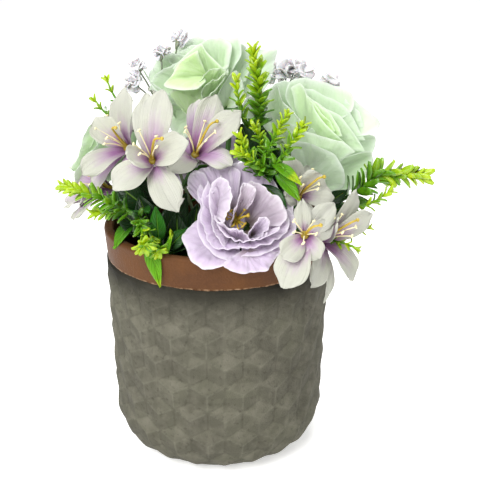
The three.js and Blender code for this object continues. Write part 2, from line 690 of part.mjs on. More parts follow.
// Leafy stems: the stem's route, then each leaf: how far along the stem it grows, the way it points, its
// length and width.
const LEAFY_STEMS = [
  {
    name: "leaves_low_left",
    hole: [-24, -38],
    route: [[-29, -44, 132], [-31, -50, 144]],
    leaves: [
      { share: 0.9, pointing: [0.1, -0.8, -0.1], length: 30, width: 10 },
      { share: 0.98, pointing: [0.05, -0.1, 1], length: 22, width: 12 },
      { share: 0.8, pointing: [0.7, -0.5, 0.4], length: 24, width: 9 },
      { share: 0.5, pointing: [0.9, -0.1, 0.5], length: 24, width: 10 },
      { share: 0.7, pointing: [-0.4, 0.7, 0.4], length: 24, width: 10 },
    ],
  },
  {
    name: "leaves_left",
    hole: [-38, -8],
    route: [[-45, -18, 134], [-49, -24, 146]],
    leaves: [
      { share: 0.95, pointing: [-0.85, -0.5, 0.1], length: 26, width: 14 },
      { share: 0.8, pointing: [-0.9, 0.4, 0.3], length: 26, width: 13 },
      { share: 0.98, pointing: [0.3, -0.8, 0.5], length: 26, width: 14 },
      { share: 0.6, pointing: [0.9, -0.3, 0.4], length: 24, width: 12 },
    ],
  },
  {
    name: "leaves_centre",
    hole: [4, -12],
    route: [[12, -22, 148], [20, -30, 163]],
    leaves: [
      { share: 1, pointing: [0.8, -0.5, 0.25], length: 24, width: 9 },
      { share: 0.9, pointing: [0.9, -0.35, -0.1], length: 24, width: 9 },
      { share: 0.7, pointing: [-0.7, -0.5, 0.4], length: 24, width: 10 },
      { share: 0.55, pointing: [0.3, 0.8, 0.3], length: 24, width: 10 },
      { share: 0.4, pointing: [-0.9, 0.2, 0.3], length: 24, width: 10 },
    ],
  },
  {
    name: "leaves_right",
    hole: [44, 8],
    route: [[52, 6, 134], [60, 2, 146]],
    leaves: [
      { share: 0.95, pointing: [0.5, -0.8, 0.3], length: 24, width: 10 },
      { share: 0.8, pointing: [0.95, 0.2, 0.15], length: 26, width: 10 },
      { share: 0.9, pointing: [0.6, 0.75, 0.3], length: 24, width: 10 },
      { share: 0.6, pointing: [-0.3, 0.8, 0.4], length: 24, width: 10 },
    ],
  },
  {
    name: "leaves_back",
    hole: [22, 42],
    route: [[26, 46, 133], [29, 52, 147]],
    leaves: [
      { share: 0.85, pointing: [0.5, 0.8, 0.35], length: 26, width: 11 },
      { share: 0.75, pointing: [-0.7, 0.6, 0.4], length: 24, width: 10 },
      { share: 1, pointing: [0.9, 0.1, 0.4], length: 24, width: 10 },
      { share: 0.5, pointing: [-0.8, -0.3, 0.5], length: 24, width: 10 },
    ],
  },
  {
    name: "leaves_back_left",
    hole: [-16, 42],
    route: [[-22, 46, 133], [-27, 51, 145]],
    leaves: [
      { share: 0.85, pointing: [-0.7, 0.6, 0.35], length: 26, width: 11 },
      { share: 1, pointing: [-0.9, -0.2, 0.4], length: 24, width: 10 },
      { share: 0.5, pointing: [0.8, -0.2, 0.5], length: 24, width: 10 },
    ],
  },
];

// The turns about the upright that a leaf may take to lie clear of its neighbours, in degrees.
const SWINGS = [0, 14, -14, 28, -28, 44, -44, 62, -62, 80, -80];

function makeLeaves() {
  for (const plant of LEAFY_STEMS) {
    const foot = footIn(plant.hole, TWIG_RADIUS, TWIG_SIDES);
    const curve = new THREE.CatmullRomCurve3([foot[1], ...plant.route.map(vector)]);
    const points = [...foot, curve.getPointAt(0.5), curve.getPointAt(1)];
    const parts = [threaded(points, points.map(() => TWIG_RADIUS), TWIG_SIDES)];
    for (const leaf of plant.leaves) {
      const from = curve.getPointAt(leaf.share).toArray();
      const sheet = petalSheet({
        azimuth: 0,
        foot: 0,
        lift: 0,
        rise: rad(16),
        bend: rad(-44),
        roll: 0,
        length: leaf.length,
        width: leaf.width,
        wrap: 0.08,
        cup: 0.08,
        crown: 0,
        tilt: 0,
        ruffle: 0,
        waves: 0,
        outline: "leaf",
      });
      for (const swing of SWINGS) {
        const pointing = vector(leaf.pointing).applyAxisAngle(UP, rad(swing)).toArray();
        const frame = lying(from, pointing, pointing[2] > 0.9 ? FRONT : UP);
        const make = (thickness) => solidOf(blade(sheet, 2, 2, thickness).applyMatrix4(frame));
        if (isClear(make(BLADE + 2 * GAP))) {
          parts.push(make(BLADE));
          break;
        }
      }
    }
    place(plant.name, joined(parts), "leaf");
  }
}

// Baby's breath: a thin forked stem with a small round bud at the end of each twig.
const BUD_RADIUS = 2.6;
const BABYS_BREATH = [
  {
    name: "babys_breath_left",
    hole: [-8, 22],
    fork: [-34, 26, 196],
    buds: [[-45, 20, 222], [-31, 22, 230], [-21, 30, 237], [-47, 18, 213]],
  },
  {
    name: "babys_breath_right",
    hole: [14, 16],
    fork: [40, 32, 206],
    buds: [[66, 18, 214], [47, 36, 221], [40, 32, 219], [54, 32, 217], [36, 40, 214]],
  },
];

function makeBabysBreath() {
  for (const spray of BABYS_BREATH) {
    const foot = footIn(spray.hole, TWIG_RADIUS, TWIG_SIDES);
    const parts = [threaded([...foot, vector(spray.fork)], [TWIG_RADIUS, TWIG_RADIUS, 0.8], TWIG_SIDES)];
    for (const bud of spray.buds) {
      const twig = vector(bud).sub(vector(spray.fork));
      const reach = twig.length();
      const before = (distance) => vector(spray.fork).addScaledVector(twig, 1 - distance / reach);
      const points = [vector(spray.fork), before(BUD_RADIUS), before(0.8), before(-1), before(-BUD_RADIUS)];
      parts.push(threaded(points, [0.6, 0.6, BUD_RADIUS, BUD_RADIUS, 0], 4));
    }
    place(spray.name, joined(parts), "pearl");
  }
}

// ---------------------------------------------------------------- assembly

place("pot", potSkin(), "concrete");
makeStems();
makeSprigs();
makeBabysBreath();
makeLisianthus();
makeLilies();
makeRoses();
makeLeaves();
place("foam_block", holes.reduce((block, hole) => block.subtract(hole), foamBlock()), "foam");

export default arrangement;
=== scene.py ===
from math import atan2, cos, exp, floor, hypot, pi, radians, sin, sqrt, tau
from random import Random

import bmesh
import bpy
from mathutils import Matrix, Vector, noise


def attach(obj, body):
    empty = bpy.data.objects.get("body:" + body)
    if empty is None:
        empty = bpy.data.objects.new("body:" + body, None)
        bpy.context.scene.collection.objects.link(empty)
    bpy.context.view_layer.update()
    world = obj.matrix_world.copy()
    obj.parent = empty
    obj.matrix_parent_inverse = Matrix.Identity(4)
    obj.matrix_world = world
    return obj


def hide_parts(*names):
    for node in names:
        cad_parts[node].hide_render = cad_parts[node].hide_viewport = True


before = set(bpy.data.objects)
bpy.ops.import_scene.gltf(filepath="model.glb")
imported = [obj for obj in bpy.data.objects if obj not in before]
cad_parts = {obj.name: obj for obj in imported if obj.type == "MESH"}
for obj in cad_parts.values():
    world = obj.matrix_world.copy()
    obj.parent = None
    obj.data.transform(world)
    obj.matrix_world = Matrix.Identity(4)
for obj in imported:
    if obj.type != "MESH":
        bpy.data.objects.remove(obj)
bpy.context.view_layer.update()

# A concrete pot with a copper-painted collar, filled with silk roses, lisianthus and lilies and with plastic
# greenery. Shapes are worked out in millimetres in the frame's own axes; add_piece turns them into metres.
MM = 0.001

# ---------------------------------------------------------------- the pot's sizes

POT_HEIGHT = 137
RIM_RADIUS = 65
SIDE_FOOT_RADIUS = 61.5
EDGE_ROUND = 26
WALL = 5
FLOOR = 8
COLLAR_HEIGHT = 18.7
COLLAR_TUCK = 0.8
CELLS_ROUND = 20
CELL_ROW_PITCH = 16.2
FIRST_ROW_DOWN = 7.8
RELIEF = 0.95
CELL_PHASE = 0.052
FOAM_TOP = 112
STICK_DEPTH = 30

SIDE_TOP = POT_HEIGHT - COLLAR_HEIGHT
SIDE_SLOPE = (RIM_RADIUS - SIDE_FOOT_RADIUS) / (POT_HEIGHT - EDGE_ROUND)
SIDE_TOP_RADIUS = SIDE_FOOT_RADIUS + SIDE_SLOPE * (SIDE_TOP - EDGE_ROUND)
SIDE_LENGTH = hypot(SIDE_TOP - EDGE_ROUND, SIDE_TOP_RADIUS - SIDE_FOOT_RADIUS)
FIGURED_LENGTH = SIDE_LENGTH + EDGE_ROUND * pi / 2

COLLAR_TOP_ROUND = 1.6
COLLAR_INNER_ROUND = 1.4

# ---------------------------------------------------------------- thicknesses of the flowers and the greenery

SILK = 0.35
SEPAL = 0.5
LEAF_PLASTIC = 0.45
FLORET_CRUMB = 0.3
STEM_RADIUS = 1.5
LILY_BRANCH_RADIUS = 1.15
THIN_STEM_RADIUS = 1.0
LEAF_TWIG_RADIUS = 0.6
FLORET_TWIG_RADIUS = 0.5

UP = Vector((0, 0, 1))
VIEW = Vector((0.0239, 0.9387, -0.3438))  # the way the camera looks
GOLDEN_TURN = pi * (3 - sqrt(5))


# ---------------------------------------------------------------- camera, light and floor

def put(name, data):
    """An object with that name and data, put into the scene."""
    made = bpy.data.objects.new(name, data)
    bpy.context.scene.collection.objects.link(made)
    return made


def make_camera():
    camera = put("camera", bpy.data.cameras.new("camera"))
    camera.data.sensor_width = 36
    camera.data.lens = 69.6
    camera.data.clip_start = 0.02
    camera.data.clip_end = 20
    camera.location = (0, -0.5086, 0.3107)
    camera.rotation_euler = VIEW.to_track_quat("-Z", "Y").to_euler()
    bpy.context.scene.camera = camera


def make_softbox(name, place, aim, width, power):
    light = bpy.data.lights.new(name, "AREA")
    light.shape = "DISK"
    light.size = width
    light.energy = power
    softbox = put(name, light)
    softbox.location = place
    softbox.rotation_euler = (Vector(aim) - Vector(place)).to_track_quat("-Z", "Y").to_euler()


def make_studio():
    scene = bpy.context.scene
    scene.view_settings.view_transform = "Standard"
    world = bpy.data.worlds.new("studio")
    world.use_nodes = True
    world.node_tree.nodes["Background"].inputs["Color"].default_value = (1, 1, 1, 1)
    world.node_tree.nodes["Background"].inputs["Strength"].default_value = 0.48
    scene.world = world
    middle, width = (0, 0, 0.12), 0.8
    make_softbox("key_softbox", (-0.5, -1.0, 1.05), middle, width, 20.5)
    make_softbox("top_softbox", (0.1, 0.4, 1.4), middle, width, 13)
    bm = bmesh.new()
    bmesh.ops.create_grid(bm, x_segments=1, y_segments=1, size=6)
    mesh = bpy.data.meshes.new("floor")
    bm.to_mesh(mesh)
    bm.free()
    paper = Finish("studio_paper", roughness=0.9, emission_color=(1, 1, 1, 1), emission_strength=0.5)
    paper.colour(paper.mix(paper.noise(2), tint("fdfdfc"), tint("fafaf9")))
    mesh.materials.append(paper.material)
    floor_plane = put("floor", mesh)


# ---------------------------------------------------------------- finishes

def tint(code):
    """A colour written as six hexadecimal digits, as linear red, green, blue and alpha."""
    shares = [int(code[i:i + 2], 16) / 255 for i in (0, 2, 4)]
    return [s / 12.92 if s <= 0.04045 else ((s + 0.055) / 1.055) ** 2.4 for s in shares] + [1]


class Finish:
    """A material's nodes, built up to its principled shader."""

    def __init__(self, name, **sockets):
        self.material = bpy.data.materials.new(name)
        self.material.use_nodes = True
        self.tree = self.material.node_tree
        self.shader = self.tree.nodes["Principled BSDF"]
        self.output = self.tree.nodes["Material Output"]
        for socket, value in sockets.items():
            self.shader.inputs[socket.replace("_", " ").title().replace("Ior", "IOR")].default_value = value

    def node(self, kind, inputs, **settings):
        made = self.tree.nodes.new(kind)
        for key, value in settings.items():
            setattr(made, key, value)
        for key, value in inputs.items():
            if isinstance(value, bpy.types.NodeSocket):
                self.tree.links.new(value, made.inputs[key])
            else:
                made.inputs[key].default_value = value
        return made

    def place(self):
        return self.node("ShaderNodeTexCoord", {}).outputs["Object"]

    def along_piece(self, across=1, along=1):
        """The piece's own map, stretched: across it and along it."""
        uv = self.node("ShaderNodeTexCoord", {}).outputs["UV"]
        return self.node("ShaderNodeMapping", {"Vector": uv, "Scale": (across, along, 1)}).outputs["Vector"]

    def share_along(self):
        uv = self.node("ShaderNodeTexCoord", {}).outputs["UV"]
        return self.node("ShaderNodeSeparateXYZ", {"Vector": uv}).outputs["Y"]

    def share_across(self):
        uv = self.node("ShaderNodeTexCoord", {}).outputs["UV"]
        return self.node("ShaderNodeSeparateXYZ", {"Vector": uv}).outputs["X"]

    def value_of(self, attribute):
        return self.node("ShaderNodeAttribute", {}, attribute_name=attribute).outputs["Fac"]

    def noise(self, scale, detail=2.0, vector=None):
        inputs = {"Vector": vector or self.place(), "Scale": scale, "Detail": detail}
        return self.node("ShaderNodeTexNoise", inputs).outputs["Fac"]

    def cells(self, scale):
        inputs = {"Vector": self.place(), "Scale": scale}
        return self.node("ShaderNodeTexVoronoi", inputs).outputs["Distance"]

    def maths(self, operation, *values):
        return self.node("ShaderNodeMath", dict(enumerate(values)), operation=operation).outputs["Value"]

    def fit(self, value, low, high, new_low=0.0, new_high=1.0):
        inputs = {"Value": value, "From Min": low, "From Max": high, "To Min": new_low, "To Max": new_high}
        return self.node("ShaderNodeMapRange", inputs).outputs["Result"]

    def mix(self, share, first, second):
        made = self.node("ShaderNodeMix", {}, data_type="RGBA")
        for index, value in ((0, share), (6, first), (7, second)):
            if isinstance(value, bpy.types.NodeSocket):
                self.tree.links.new(value, made.inputs[index])
            else:
                made.inputs[index].default_value = value
        return made.outputs[2]

    def over(self, base, code, value, low, high, least=0.0, most=1.0):
        """The base with another colour over it, from least to most as the value runs from low to high."""
        return self.mix(self.fit(value, low, high, least, most), base, tint(code))

    def plus(self, first, second, share):
        """The first value and a share of the second."""
        return self.maths("ADD", first, self.maths("MULTIPLY", second, share))

    def ramp(self, share, stops):
        """A colour that runs smoothly through the stops, each a share and a colour."""
        made = self.node("ShaderNodeValToRGB", {"Fac": share})
        made.color_ramp.interpolation = "EASE"
        band = made.color_ramp.elements
        while len(band) < len(stops):
            band.new(0.5)
        for element, (at, colour) in zip(band, stops):
            element.position = at
            element.color = colour
        return made.outputs["Color"]

    def colour(self, socket):
        self.tree.links.new(socket, self.shader.inputs["Base Color"])
        return self

    def bump(self, height, depth):
        """Relief from a height of 0 to 1, as deep as depth, in metres."""
        bumped = self.node("ShaderNodeBump", {"Height": height, "Distance": depth, "Strength": 1.0})
        self.tree.links.new(bumped.outputs["Normal"], self.shader.inputs["Normal"])
        return self

    def rough(self, value, low, high):
        self.tree.links.new(self.fit(value, 0.3, 0.7, low, high), self.shader.inputs["Roughness"])
        return self

    def translucent(self, colour, share):
        """Lets light through, as thin cloth and petals do."""
        through = self.node("ShaderNodeBsdfTranslucent", {"Color": colour}).outputs["BSDF"]
        both = self.node("ShaderNodeMixShader", {0: share, 1: self.shader.outputs["BSDF"], 2: through})
        self.tree.links.new(both.outputs["Shader"], self.output.inputs["Surface"])
        return self


def concrete_finish():
    """Rough cast concrete. The relief is painted pale on its ridges, a painted highlight, and dark in its
    valleys, a painted shade.
    Each facet is painted lighter the more it faces up and darker the more it faces down, a painted light and
    shade over a little tone that differs at random from facet to facet, and the side is painted darker below
    the collar, a painted shadow."""
    f = Finish("cast_concrete", specular_ior_level=0.2)
    clouds = f.noise(26, 4)
    mottle = f.noise(170, 5)
    sand = f.noise(1500, 3)
    base = f.mix(f.fit(clouds, 0.35, 0.68), tint("514f44"), tint("5d5c4e"))
    base = f.over(base, "706d60", mottle, 0.42, 0.68, 0, 0.5)
    base = f.over(base, "413f34", f.noise(70, 6), 0.54, 0.7, 0, 0.5)
    base = f.over(base, "39372e", f.noise(420, 6), 0.56, 0.7, 0, 0.5)
    # Painted light and shade: facets that face up are painted lighter, those that face down darker.
    base = f.over(base, "7f7b6e", f.value_of("facet_shade_and_tone"), 0.5, 1, 0, 0.22)
    base = f.over(base, "37342d", f.value_of("facet_shade_and_tone"), 0, 0.5, 0.28, 0)
    # Painted highlight on the relief's ridges, and painted shade in its valleys.
    base = f.over(base, "868476", f.value_of("ridge"), 0.03, 0.17, 0, 0.24)
    base = f.over(base, "333028", f.value_of("ridge"), -0.15, -0.03, 0.38, 0)
    # Painted shadow: the side is painted darker for its top 17 mm below the collar, where the collar and the
    # flowers shade it.
    height_up = f.node("ShaderNodeSeparateXYZ", {"Vector": f.place()}).outputs["Z"]
    shaded_under_collar = f.fit(height_up, (SIDE_TOP - 17) * MM, (SIDE_TOP - 2) * MM, 0, 1)
    base = f.mix(f.maths("MULTIPLY", shaded_under_collar, f.fit(clouds, 0.3, 0.6, 0.7, 1)), base, tint("201e17"))
    height = f.plus(f.maths("MULTIPLY", sand, 0.35), mottle, 0.5)
    return f.colour(base).bump(height, 0.0008).rough(clouds, 0.82, 0.95).material


def copper_finish():
    """Matt copper paint, brushed on, worn pale along its lower edge."""
    f = Finish("copper_paint", metallic=0.15, specular_ior_level=0.2)
    strokes = f.noise(60, 5)
    grain = f.noise(900, 3)
    base = f.mix(f.fit(strokes, 0.35, 0.7), tint("4f3018"), tint("5d3a1c"))
    base = f.over(base, "6a4426", grain, 0.45, 0.75, 0, 0.3)
    worn = f.maths("MULTIPLY", f.value_of("tone"), f.fit(f.noise(330, 3), 0.4, 0.6))
    base = f.mix(worn, base, tint("b3906f"))
    return f.colour(base).bump(f.maths("ADD", grain, strokes), 0.0003).rough(strokes, 0.5, 0.64).material


def foam_finish():
    f = Finish("floral_foam", roughness=1.0)
    crumbs = f.noise(900, 4)
    base = f.mix(f.fit(crumbs, 0.35, 0.7), tint("0c1809"), tint("1e3517"))
    return f.colour(base).bump(f.maths("ADD", crumbs, f.cells(500)), 0.0012).material


def silk_finish(name, heart, body, edge, shade):
    """Thin dyed silk: heart colour at the foot and in the inner petals, body colour with clouds of a deeper
    shade, streaks of a paler edge colour, and that paler colour along the rim as a painted highlight."""
    f = Finish(name, roughness=0.6, sheen_weight=0.25, sheen_roughness=0.4)
    along, across = f.share_along(), f.share_across()
    rim = f.maths("MAXIMUM", along, f.maths("ABSOLUTE", f.fit(across, 0, 1, -1, 1)))
    streaks = f.noise(1, 3, f.along_piece(16, 1.2))
    base = f.ramp(along, [(0.0, tint(heart)), (0.42, tint(body)), (1.0, tint(body))])
    base = f.over(base, shade, f.noise(60, 3), 0.35, 0.7, 0.25, 0)
    base = f.over(base, shade, f.value_of("tone"), 0, 1, 0, 0.3)
    base = f.mix(f.value_of("heart"), base, tint(heart))
    base = f.over(base, edge, streaks, 0.45, 0.75, 0, 0.3)
    # Painted highlight: the paler edge colour laid along the petal's rim.
    base = f.over(base, edge, rim, 0.86, 1.0, 0, 0.75)
    weave = f.plus(f.noise(1, 2, f.along_piece(40, 3)), f.noise(2600, 1), 0.3)
    weave = f.plus(weave, f.noise(240, 3), 1.2)
    return f.colour(base).bump(weave, 0.0005).translucent(base, 0.42).material


def lily_finish():
    """Cream silk with faint ribs. The throat is mauve and fades through lilac along the middle, further the
    more the petal's heart value."""
    f = Finish("lily_silk", roughness=0.6, sheen_weight=0.2, sheen_roughness=0.4)
    along = f.share_along()
    middle = f.maths("ABSOLUTE", f.maths("SUBTRACT", f.share_across(), 0.5))
    ribs = f.noise(1, 1, f.along_piece(30, 0.8))
    cream = f.mix(f.fit(ribs, 0.4, 0.7, 0, 0.3), tint("cfd0c2"), tint("bcbeb0"))
    cream = f.over(cream, "c2c0bb", f.noise(120, 3), 0.4, 0.7, 0, 0.4)
    cream = f.over(cream, "dcddd0", along, 0.85, 1.0, 0, 0.5)
    flush = f.ramp(along, [(0.0, tint("8a5584")), (0.2, tint("b381b4")), (0.42, tint("c8a8ca")),
                           (0.75, tint("d8cbd8"))])
    fade = f.plus(along, middle, 0.55)
    fade = f.maths("ADD", fade, f.fit(f.noise(1, 3, f.along_piece(7, 2)), 0.3, 0.7, -0.14, 0.14))
    fade = f.maths("SUBTRACT", fade, f.maths("MULTIPLY", f.value_of("heart"), 0.55))
    base = f.mix(f.fit(fade, 0.12, 0.56), flush, cream)
    weave = f.plus(ribs, f.noise(2600, 1), 0.3)
    weave = f.plus(weave, f.noise(300, 3), 0.9)
    return f.colour(base).bump(weave, 0.0005).translucent(base, 0.25).material


def plastic_finish(name, foot, body, tip, rough):
    """Moulded plastic whose colour runs from foot to tip by the piece's own tone."""
    f = Finish(name, roughness=rough, subsurface_weight=0.12, subsurface_scale=0.0015)
    flow = f.noise(160, 3)
    share = f.maths("ADD", f.value_of("tone"), f.fit(flow, 0.3, 0.7, -0.12, 0.12))
    base = f.ramp(share, [(0.05, tint(foot)), (0.45, tint(body)), (0.9, tint(tip))])
    return f.colour(base).bump(f.maths("ADD", flow, f.noise(1300, 2)), 0.00012).material


def leaf_finish():
    """Moulded leaves with a pale midrib and side veins. Their green yellows by tone and towards the tip."""
    f = Finish("moulded_leaf", roughness=0.36, specular_ior_level=0.25, subsurface_weight=0.1,
               subsurface_scale=0.002)
    along, across = f.share_along(), f.share_across()
    middle = f.maths("ABSOLUTE", f.maths("SUBTRACT", across, 0.5))
    slant = f.maths("SUBTRACT", along, f.maths("MULTIPLY", middle, 0.7))
    veins = f.maths("ABSOLUTE", f.maths("SINE", f.maths("MULTIPLY", slant, 26)))
    share = f.plus(f.value_of("tone"), along, 0.35)
    base = f.ramp(share, [(0.15, tint("0c2c08")), (0.5, tint("24640f")), (0.95, tint("5f9a12")),
                          (1.0, tint("9cba1c"))])
    base = f.over(base, "5f9a2c", veins, 0.0, 0.25, 0.25, 0)
    base = f.over(base, "86b440", middle, 0.0, 0.05, 0.45, 0)
    height = f.maths("MINIMUM", f.fit(veins, 0, 0.3), f.fit(middle, 0, 0.07))
    return f.colour(base).bump(height, 0.0005).material


FINISHES = {
    "concrete": concrete_finish(),
    "copper_paint": copper_finish(),
    "foam": foam_finish(),
    "rose_silk": silk_finish("rose_silk", "dcf3b6", "e7f4e2", "f3f8f2", "cfe5ba"),
    "lisianthus_silk": silk_finish("lisianthus_silk", "8a7a52", "efe7f2", "f6f3f7", "d3bade"),
    "lily_silk": lily_finish(),
    "stamen": plastic_finish("stamen", "8a7a20", "b9a02e", "ebe2b4", 0.45),
    "stem": plastic_finish("stem", "1f3d0c", "35601c", "4c7a2a", 0.5),
    "sprig": plastic_finish("sprig", "0c3606", "5a9010", "a3c010", 0.33),
    "leaf": leaf_finish(),
    "babys_breath": plastic_finish("babys_breath", "6c7a58", "c2c5bd", "dcdade", 0.7),
}


# ---------------------------------------------------------------- making pieces

def new_shape():
    """An empty mesh with the map and the values that the finishes read."""
    bm = bmesh.new()
    bm.loops.layers.uv.new("map")
    for name in ("tone", "heart", "ridge", "facet_shade_and_tone"):
        bm.verts.layers.float.new(name)
    return bm


def add_piece(name, bm, slot, nodes, levels=0):
    """Turns a shape in millimetres into a piece that rides on the part and stands for its nodes."""
    bmesh.ops.scale(bm, vec=(MM, MM, MM), verts=bm.verts)
    for face in bm.faces:
        face.smooth = True
    mesh = bpy.data.meshes.new(name)
    bm.to_mesh(mesh)
    bm.free()
    mesh.materials.append(FINISHES[slot])
    piece = put(name, mesh)
    if levels:
        smoothing = piece.modifiers.new("smoothing", "SUBSURF")
        smoothing.levels = levels
        smoothing.render_levels = levels
    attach(piece, "root")
    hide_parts(*nodes)


def lay_blade(bm, surface, columns, rows, tone, heart=0.0):
    """Lays a sheet surface(u, v), u from -1 to 1 across and v from 0 to 1 along, and gives its faces."""
    made = bmesh.ops.create_grid(bm, x_segments=columns, y_segments=rows, size=1, calc_uvs=True)
    tones, hearts = bm.verts.layers.float["tone"], bm.verts.layers.float["heart"]
    faces = set()
    for vert in made["verts"]:
        u, v = vert.co.x, (vert.co.y + 1) / 2
        vert[tones] = tone(v) if callable(tone) else tone
        vert[hearts] = heart
        vert.co = surface(u, v)
        faces.update(vert.link_faces)
    return list(faces)


def thicken(bm, faces, thickness):
    """Gives sheets their thickness and closes them all round."""
    bmesh.ops.solidify(bm, geom=faces, thickness=thickness)


def lay_rod(bm, points, radii, sides, tone):
    """A round rod threaded on the points, closed at both ends."""
    last = len(points) - 1
    side = Vector((1, 0, 0)) if abs((points[1] - points[0]).normalized().x) < 0.8 else UP.copy()
    frames = []
    for k in range(last + 1):
        along = (points[min(last, k + 1)] - points[max(0, k - 1)]).normalized()
        side = (side - along * side.dot(along)).normalized()
        frames.append((side.copy(), along.cross(side)))
    rings = [0, *range(last + 1), last]
    spans = [0, *radii, 0]

    def surface(u, v):
        k = round(v * (last + 2))
        across, over = frames[rings[k]]
        turn = u * pi
        return points[rings[k]] + (across * cos(turn) + over * sin(turn)) * spans[k]

    faces = lay_blade(bm, surface, sides, last + 2, tone)
    verts = list({vert for face in faces for vert in face.verts})
    bmesh.ops.remove_doubles(bm, verts=verts, dist=1e-4)


def through(points, steps):
    """Points along a smooth line through the given ones, so many to each stretch."""
    given = [Vector(p) for p in points]
    ends = [2 * given[0] - given[1], *given, 2 * given[-1] - given[-2]]
    line = []
    for a, b, c, d in zip(ends, ends[1:], ends[2:], ends[3:]):
        for i in range(steps):
            t = i / steps
            line.append(0.5 * (2 * b + (c - a) * t + (2 * a - 5 * b + 4 * c - d) * t * t
                               + (3 * b - a - 3 * c + d) * t ** 3))
    return line + [given[-1]]


def point_on(line, share):
    """The point at a share of a line's length, and the line's direction there."""
    lengths = [(b - a).length for a, b in zip(line, line[1:])]
    left = share * sum(lengths)
    for a, b, length in zip(line, line[1:], lengths):
        if left <= length or b is line[-1]:
            return a.lerp(b, min(1, left / length)), (b - a).normalized()
        left -= length


def standing(at, facing):
    """The frame of a flower: foot at the given place, z along its facing."""
    z = Vector(facing).normalized()
    x = UP.cross(z).normalized()
    return Matrix.Translation(at) @ Matrix((x, z.cross(x), z)).transposed().to_4x4()


def lying(at, pointing, side):
    """The frame of a leaf: x along the way it points, z as near to the given side as that allows."""
    x = Vector(pointing).normalized()
    y = Vector(side).cross(x).normalized()
    return Matrix.Translation(at) @ Matrix((x, y, x.cross(y))).transposed().to_4x4()


# ---------------------------------------------------------------- the pot

def side_at(down, proud):
    """The side's radius and height at a distance down it from the collar, moved out by proud."""
    if down <= SIDE_LENGTH:
        share = down / SIDE_LENGTH
        radius = SIDE_TOP_RADIUS + (SIDE_FOOT_RADIUS - SIDE_TOP_RADIUS) * share
        return radius + proud, SIDE_TOP + (EDGE_ROUND - SIDE_TOP) * share
    turn = (down - SIDE_LENGTH) / EDGE_ROUND
    reach = EDGE_ROUND + proud
    return SIDE_FOOT_RADIUS - EDGE_ROUND + reach * cos(turn), EDGE_ROUND - reach * sin(turn)


def figure_height(turn, down):
    """The tumbling-block relief, from -1 to 1: flat triangles between the points of a lattice."""
    def point(column, row):
        return (0, -1, 1)[row % 3] if column % 2 else (1, 0, -1)[row % 3]

    x = (turn + pi / 2 - CELL_PHASE) * 2 * CELLS_ROUND / tau
    column = floor(x)
    across = x - column
    shift = 0 if column % 2 else 0.5
    step = 0.5 if column % 2 else -0.5
    y = (down - FIRST_ROW_DOWN) * 1.5 / CELL_ROW_PITCH - shift - step * across
    row = floor(y)
    along = y - row
    a, b = point(column, row), point(column + 1, row)
    c, d = point(column, row + 1), point(column + 1, row + 1)
    if step > 0:
        if across + along <= 1:
            return a + across * (b - a) + along * (c - a)
        return d + (1 - across) * (c - d) + (1 - along) * (b - d)
    if along <= across:
        return a + across * (b - a) + along * (d - b)
    return a + along * (c - a) + across * (d - c)


def mean_height(turn, down, reach):
    """The mean height of the relief at a place and at six others round it."""
    taps = [(0, 0)] + [(reach * cos(k * tau / 6), reach * sin(k * tau / 6)) for k in range(6)]
    return sum(figure_height(turn + a / SIDE_FOOT_RADIUS, down + b) for a, b in taps) / len(taps)


def figured(turn, down):
    """Three values of a place on the side. The first is the relief with its edges worn round, which fades out
    at the collar and under the pot. The second is how far the place stands out of those round it. The third
    is a
    painted light and shade: the more the place faces up, the lighter it is painted, with a little tone that
    differs at random from facet to facet."""
    fade = min(1, down / 5, max(0, (FIGURED_LENGTH - down) * 1.5 / CELL_ROW_PITCH))
    ridge = figure_height(turn, down) - mean_height(turn, down, 1.4)
    faces_up = mean_height(turn, down + 1.5, 0.4) - mean_height(turn, down - 1.5, 0.4)
    facet = noise.cell(Vector((turn * CELLS_ROUND * 2 / tau * 1.02, down / 9.1, 3)))
    worn = mean_height(turn, down, 0.35)
    # The third value is painted light and shade by how far the place faces up, plus random tone per facet.
    return worn * fade, ridge * fade, 0.5 + 0.6 * faces_up * fade + 0.3 * (facet - 0.5)


def spun(profile, steps):
    """A profile of radius and height turned round the pot's axis."""
    bm = new_shape()
    verts = [bm.verts.new((r, 0, z)) for r, z in profile]
    edges = [bm.edges.new(pair) for pair in zip(verts, verts[1:])]
    bmesh.ops.spin(bm, geom=verts + edges, cent=(0, 0, 0), axis=(0, 0, 1), angle=tau, steps=steps,
                   use_merge=True)
    bmesh.ops.remove_doubles(bm, verts=bm.verts, dist=1e-4)
    bmesh.ops.recalc_face_normals(bm, faces=bm.faces)
    return bm


def arc(centre, radius, start, end, points):
    """Points of a round stretch of a profile, angles in degrees."""
    angles = [radians(start + (end - start) * k / (points - 1)) for k in range(points)]
    return [(centre[0] + radius * cos(a), centre[1] + radius * sin(a)) for a in angles]


def straight(start, end, points):
    """Evenly spaced points from start to just short of end."""
    return [tuple(s + (e - s) * k / points for s, e in zip(start, end)) for k in range(points)]


def collar_rim(coat, points):
    """The two rounds of the collar's top, outer and inner, under a coat of so many millimetres."""
    outer = (RIM_RADIUS - COLLAR_TOP_ROUND, POT_HEIGHT - COLLAR_TOP_ROUND)
    inner = (RIM_RADIUS - WALL + COLLAR_INNER_ROUND, POT_HEIGHT - COLLAR_INNER_ROUND)
    rounds = arc(outer, COLLAR_TOP_ROUND + coat, 0, 90, points)
    return rounds + arc(inner, COLLAR_INNER_ROUND + coat, 90, 180, points)


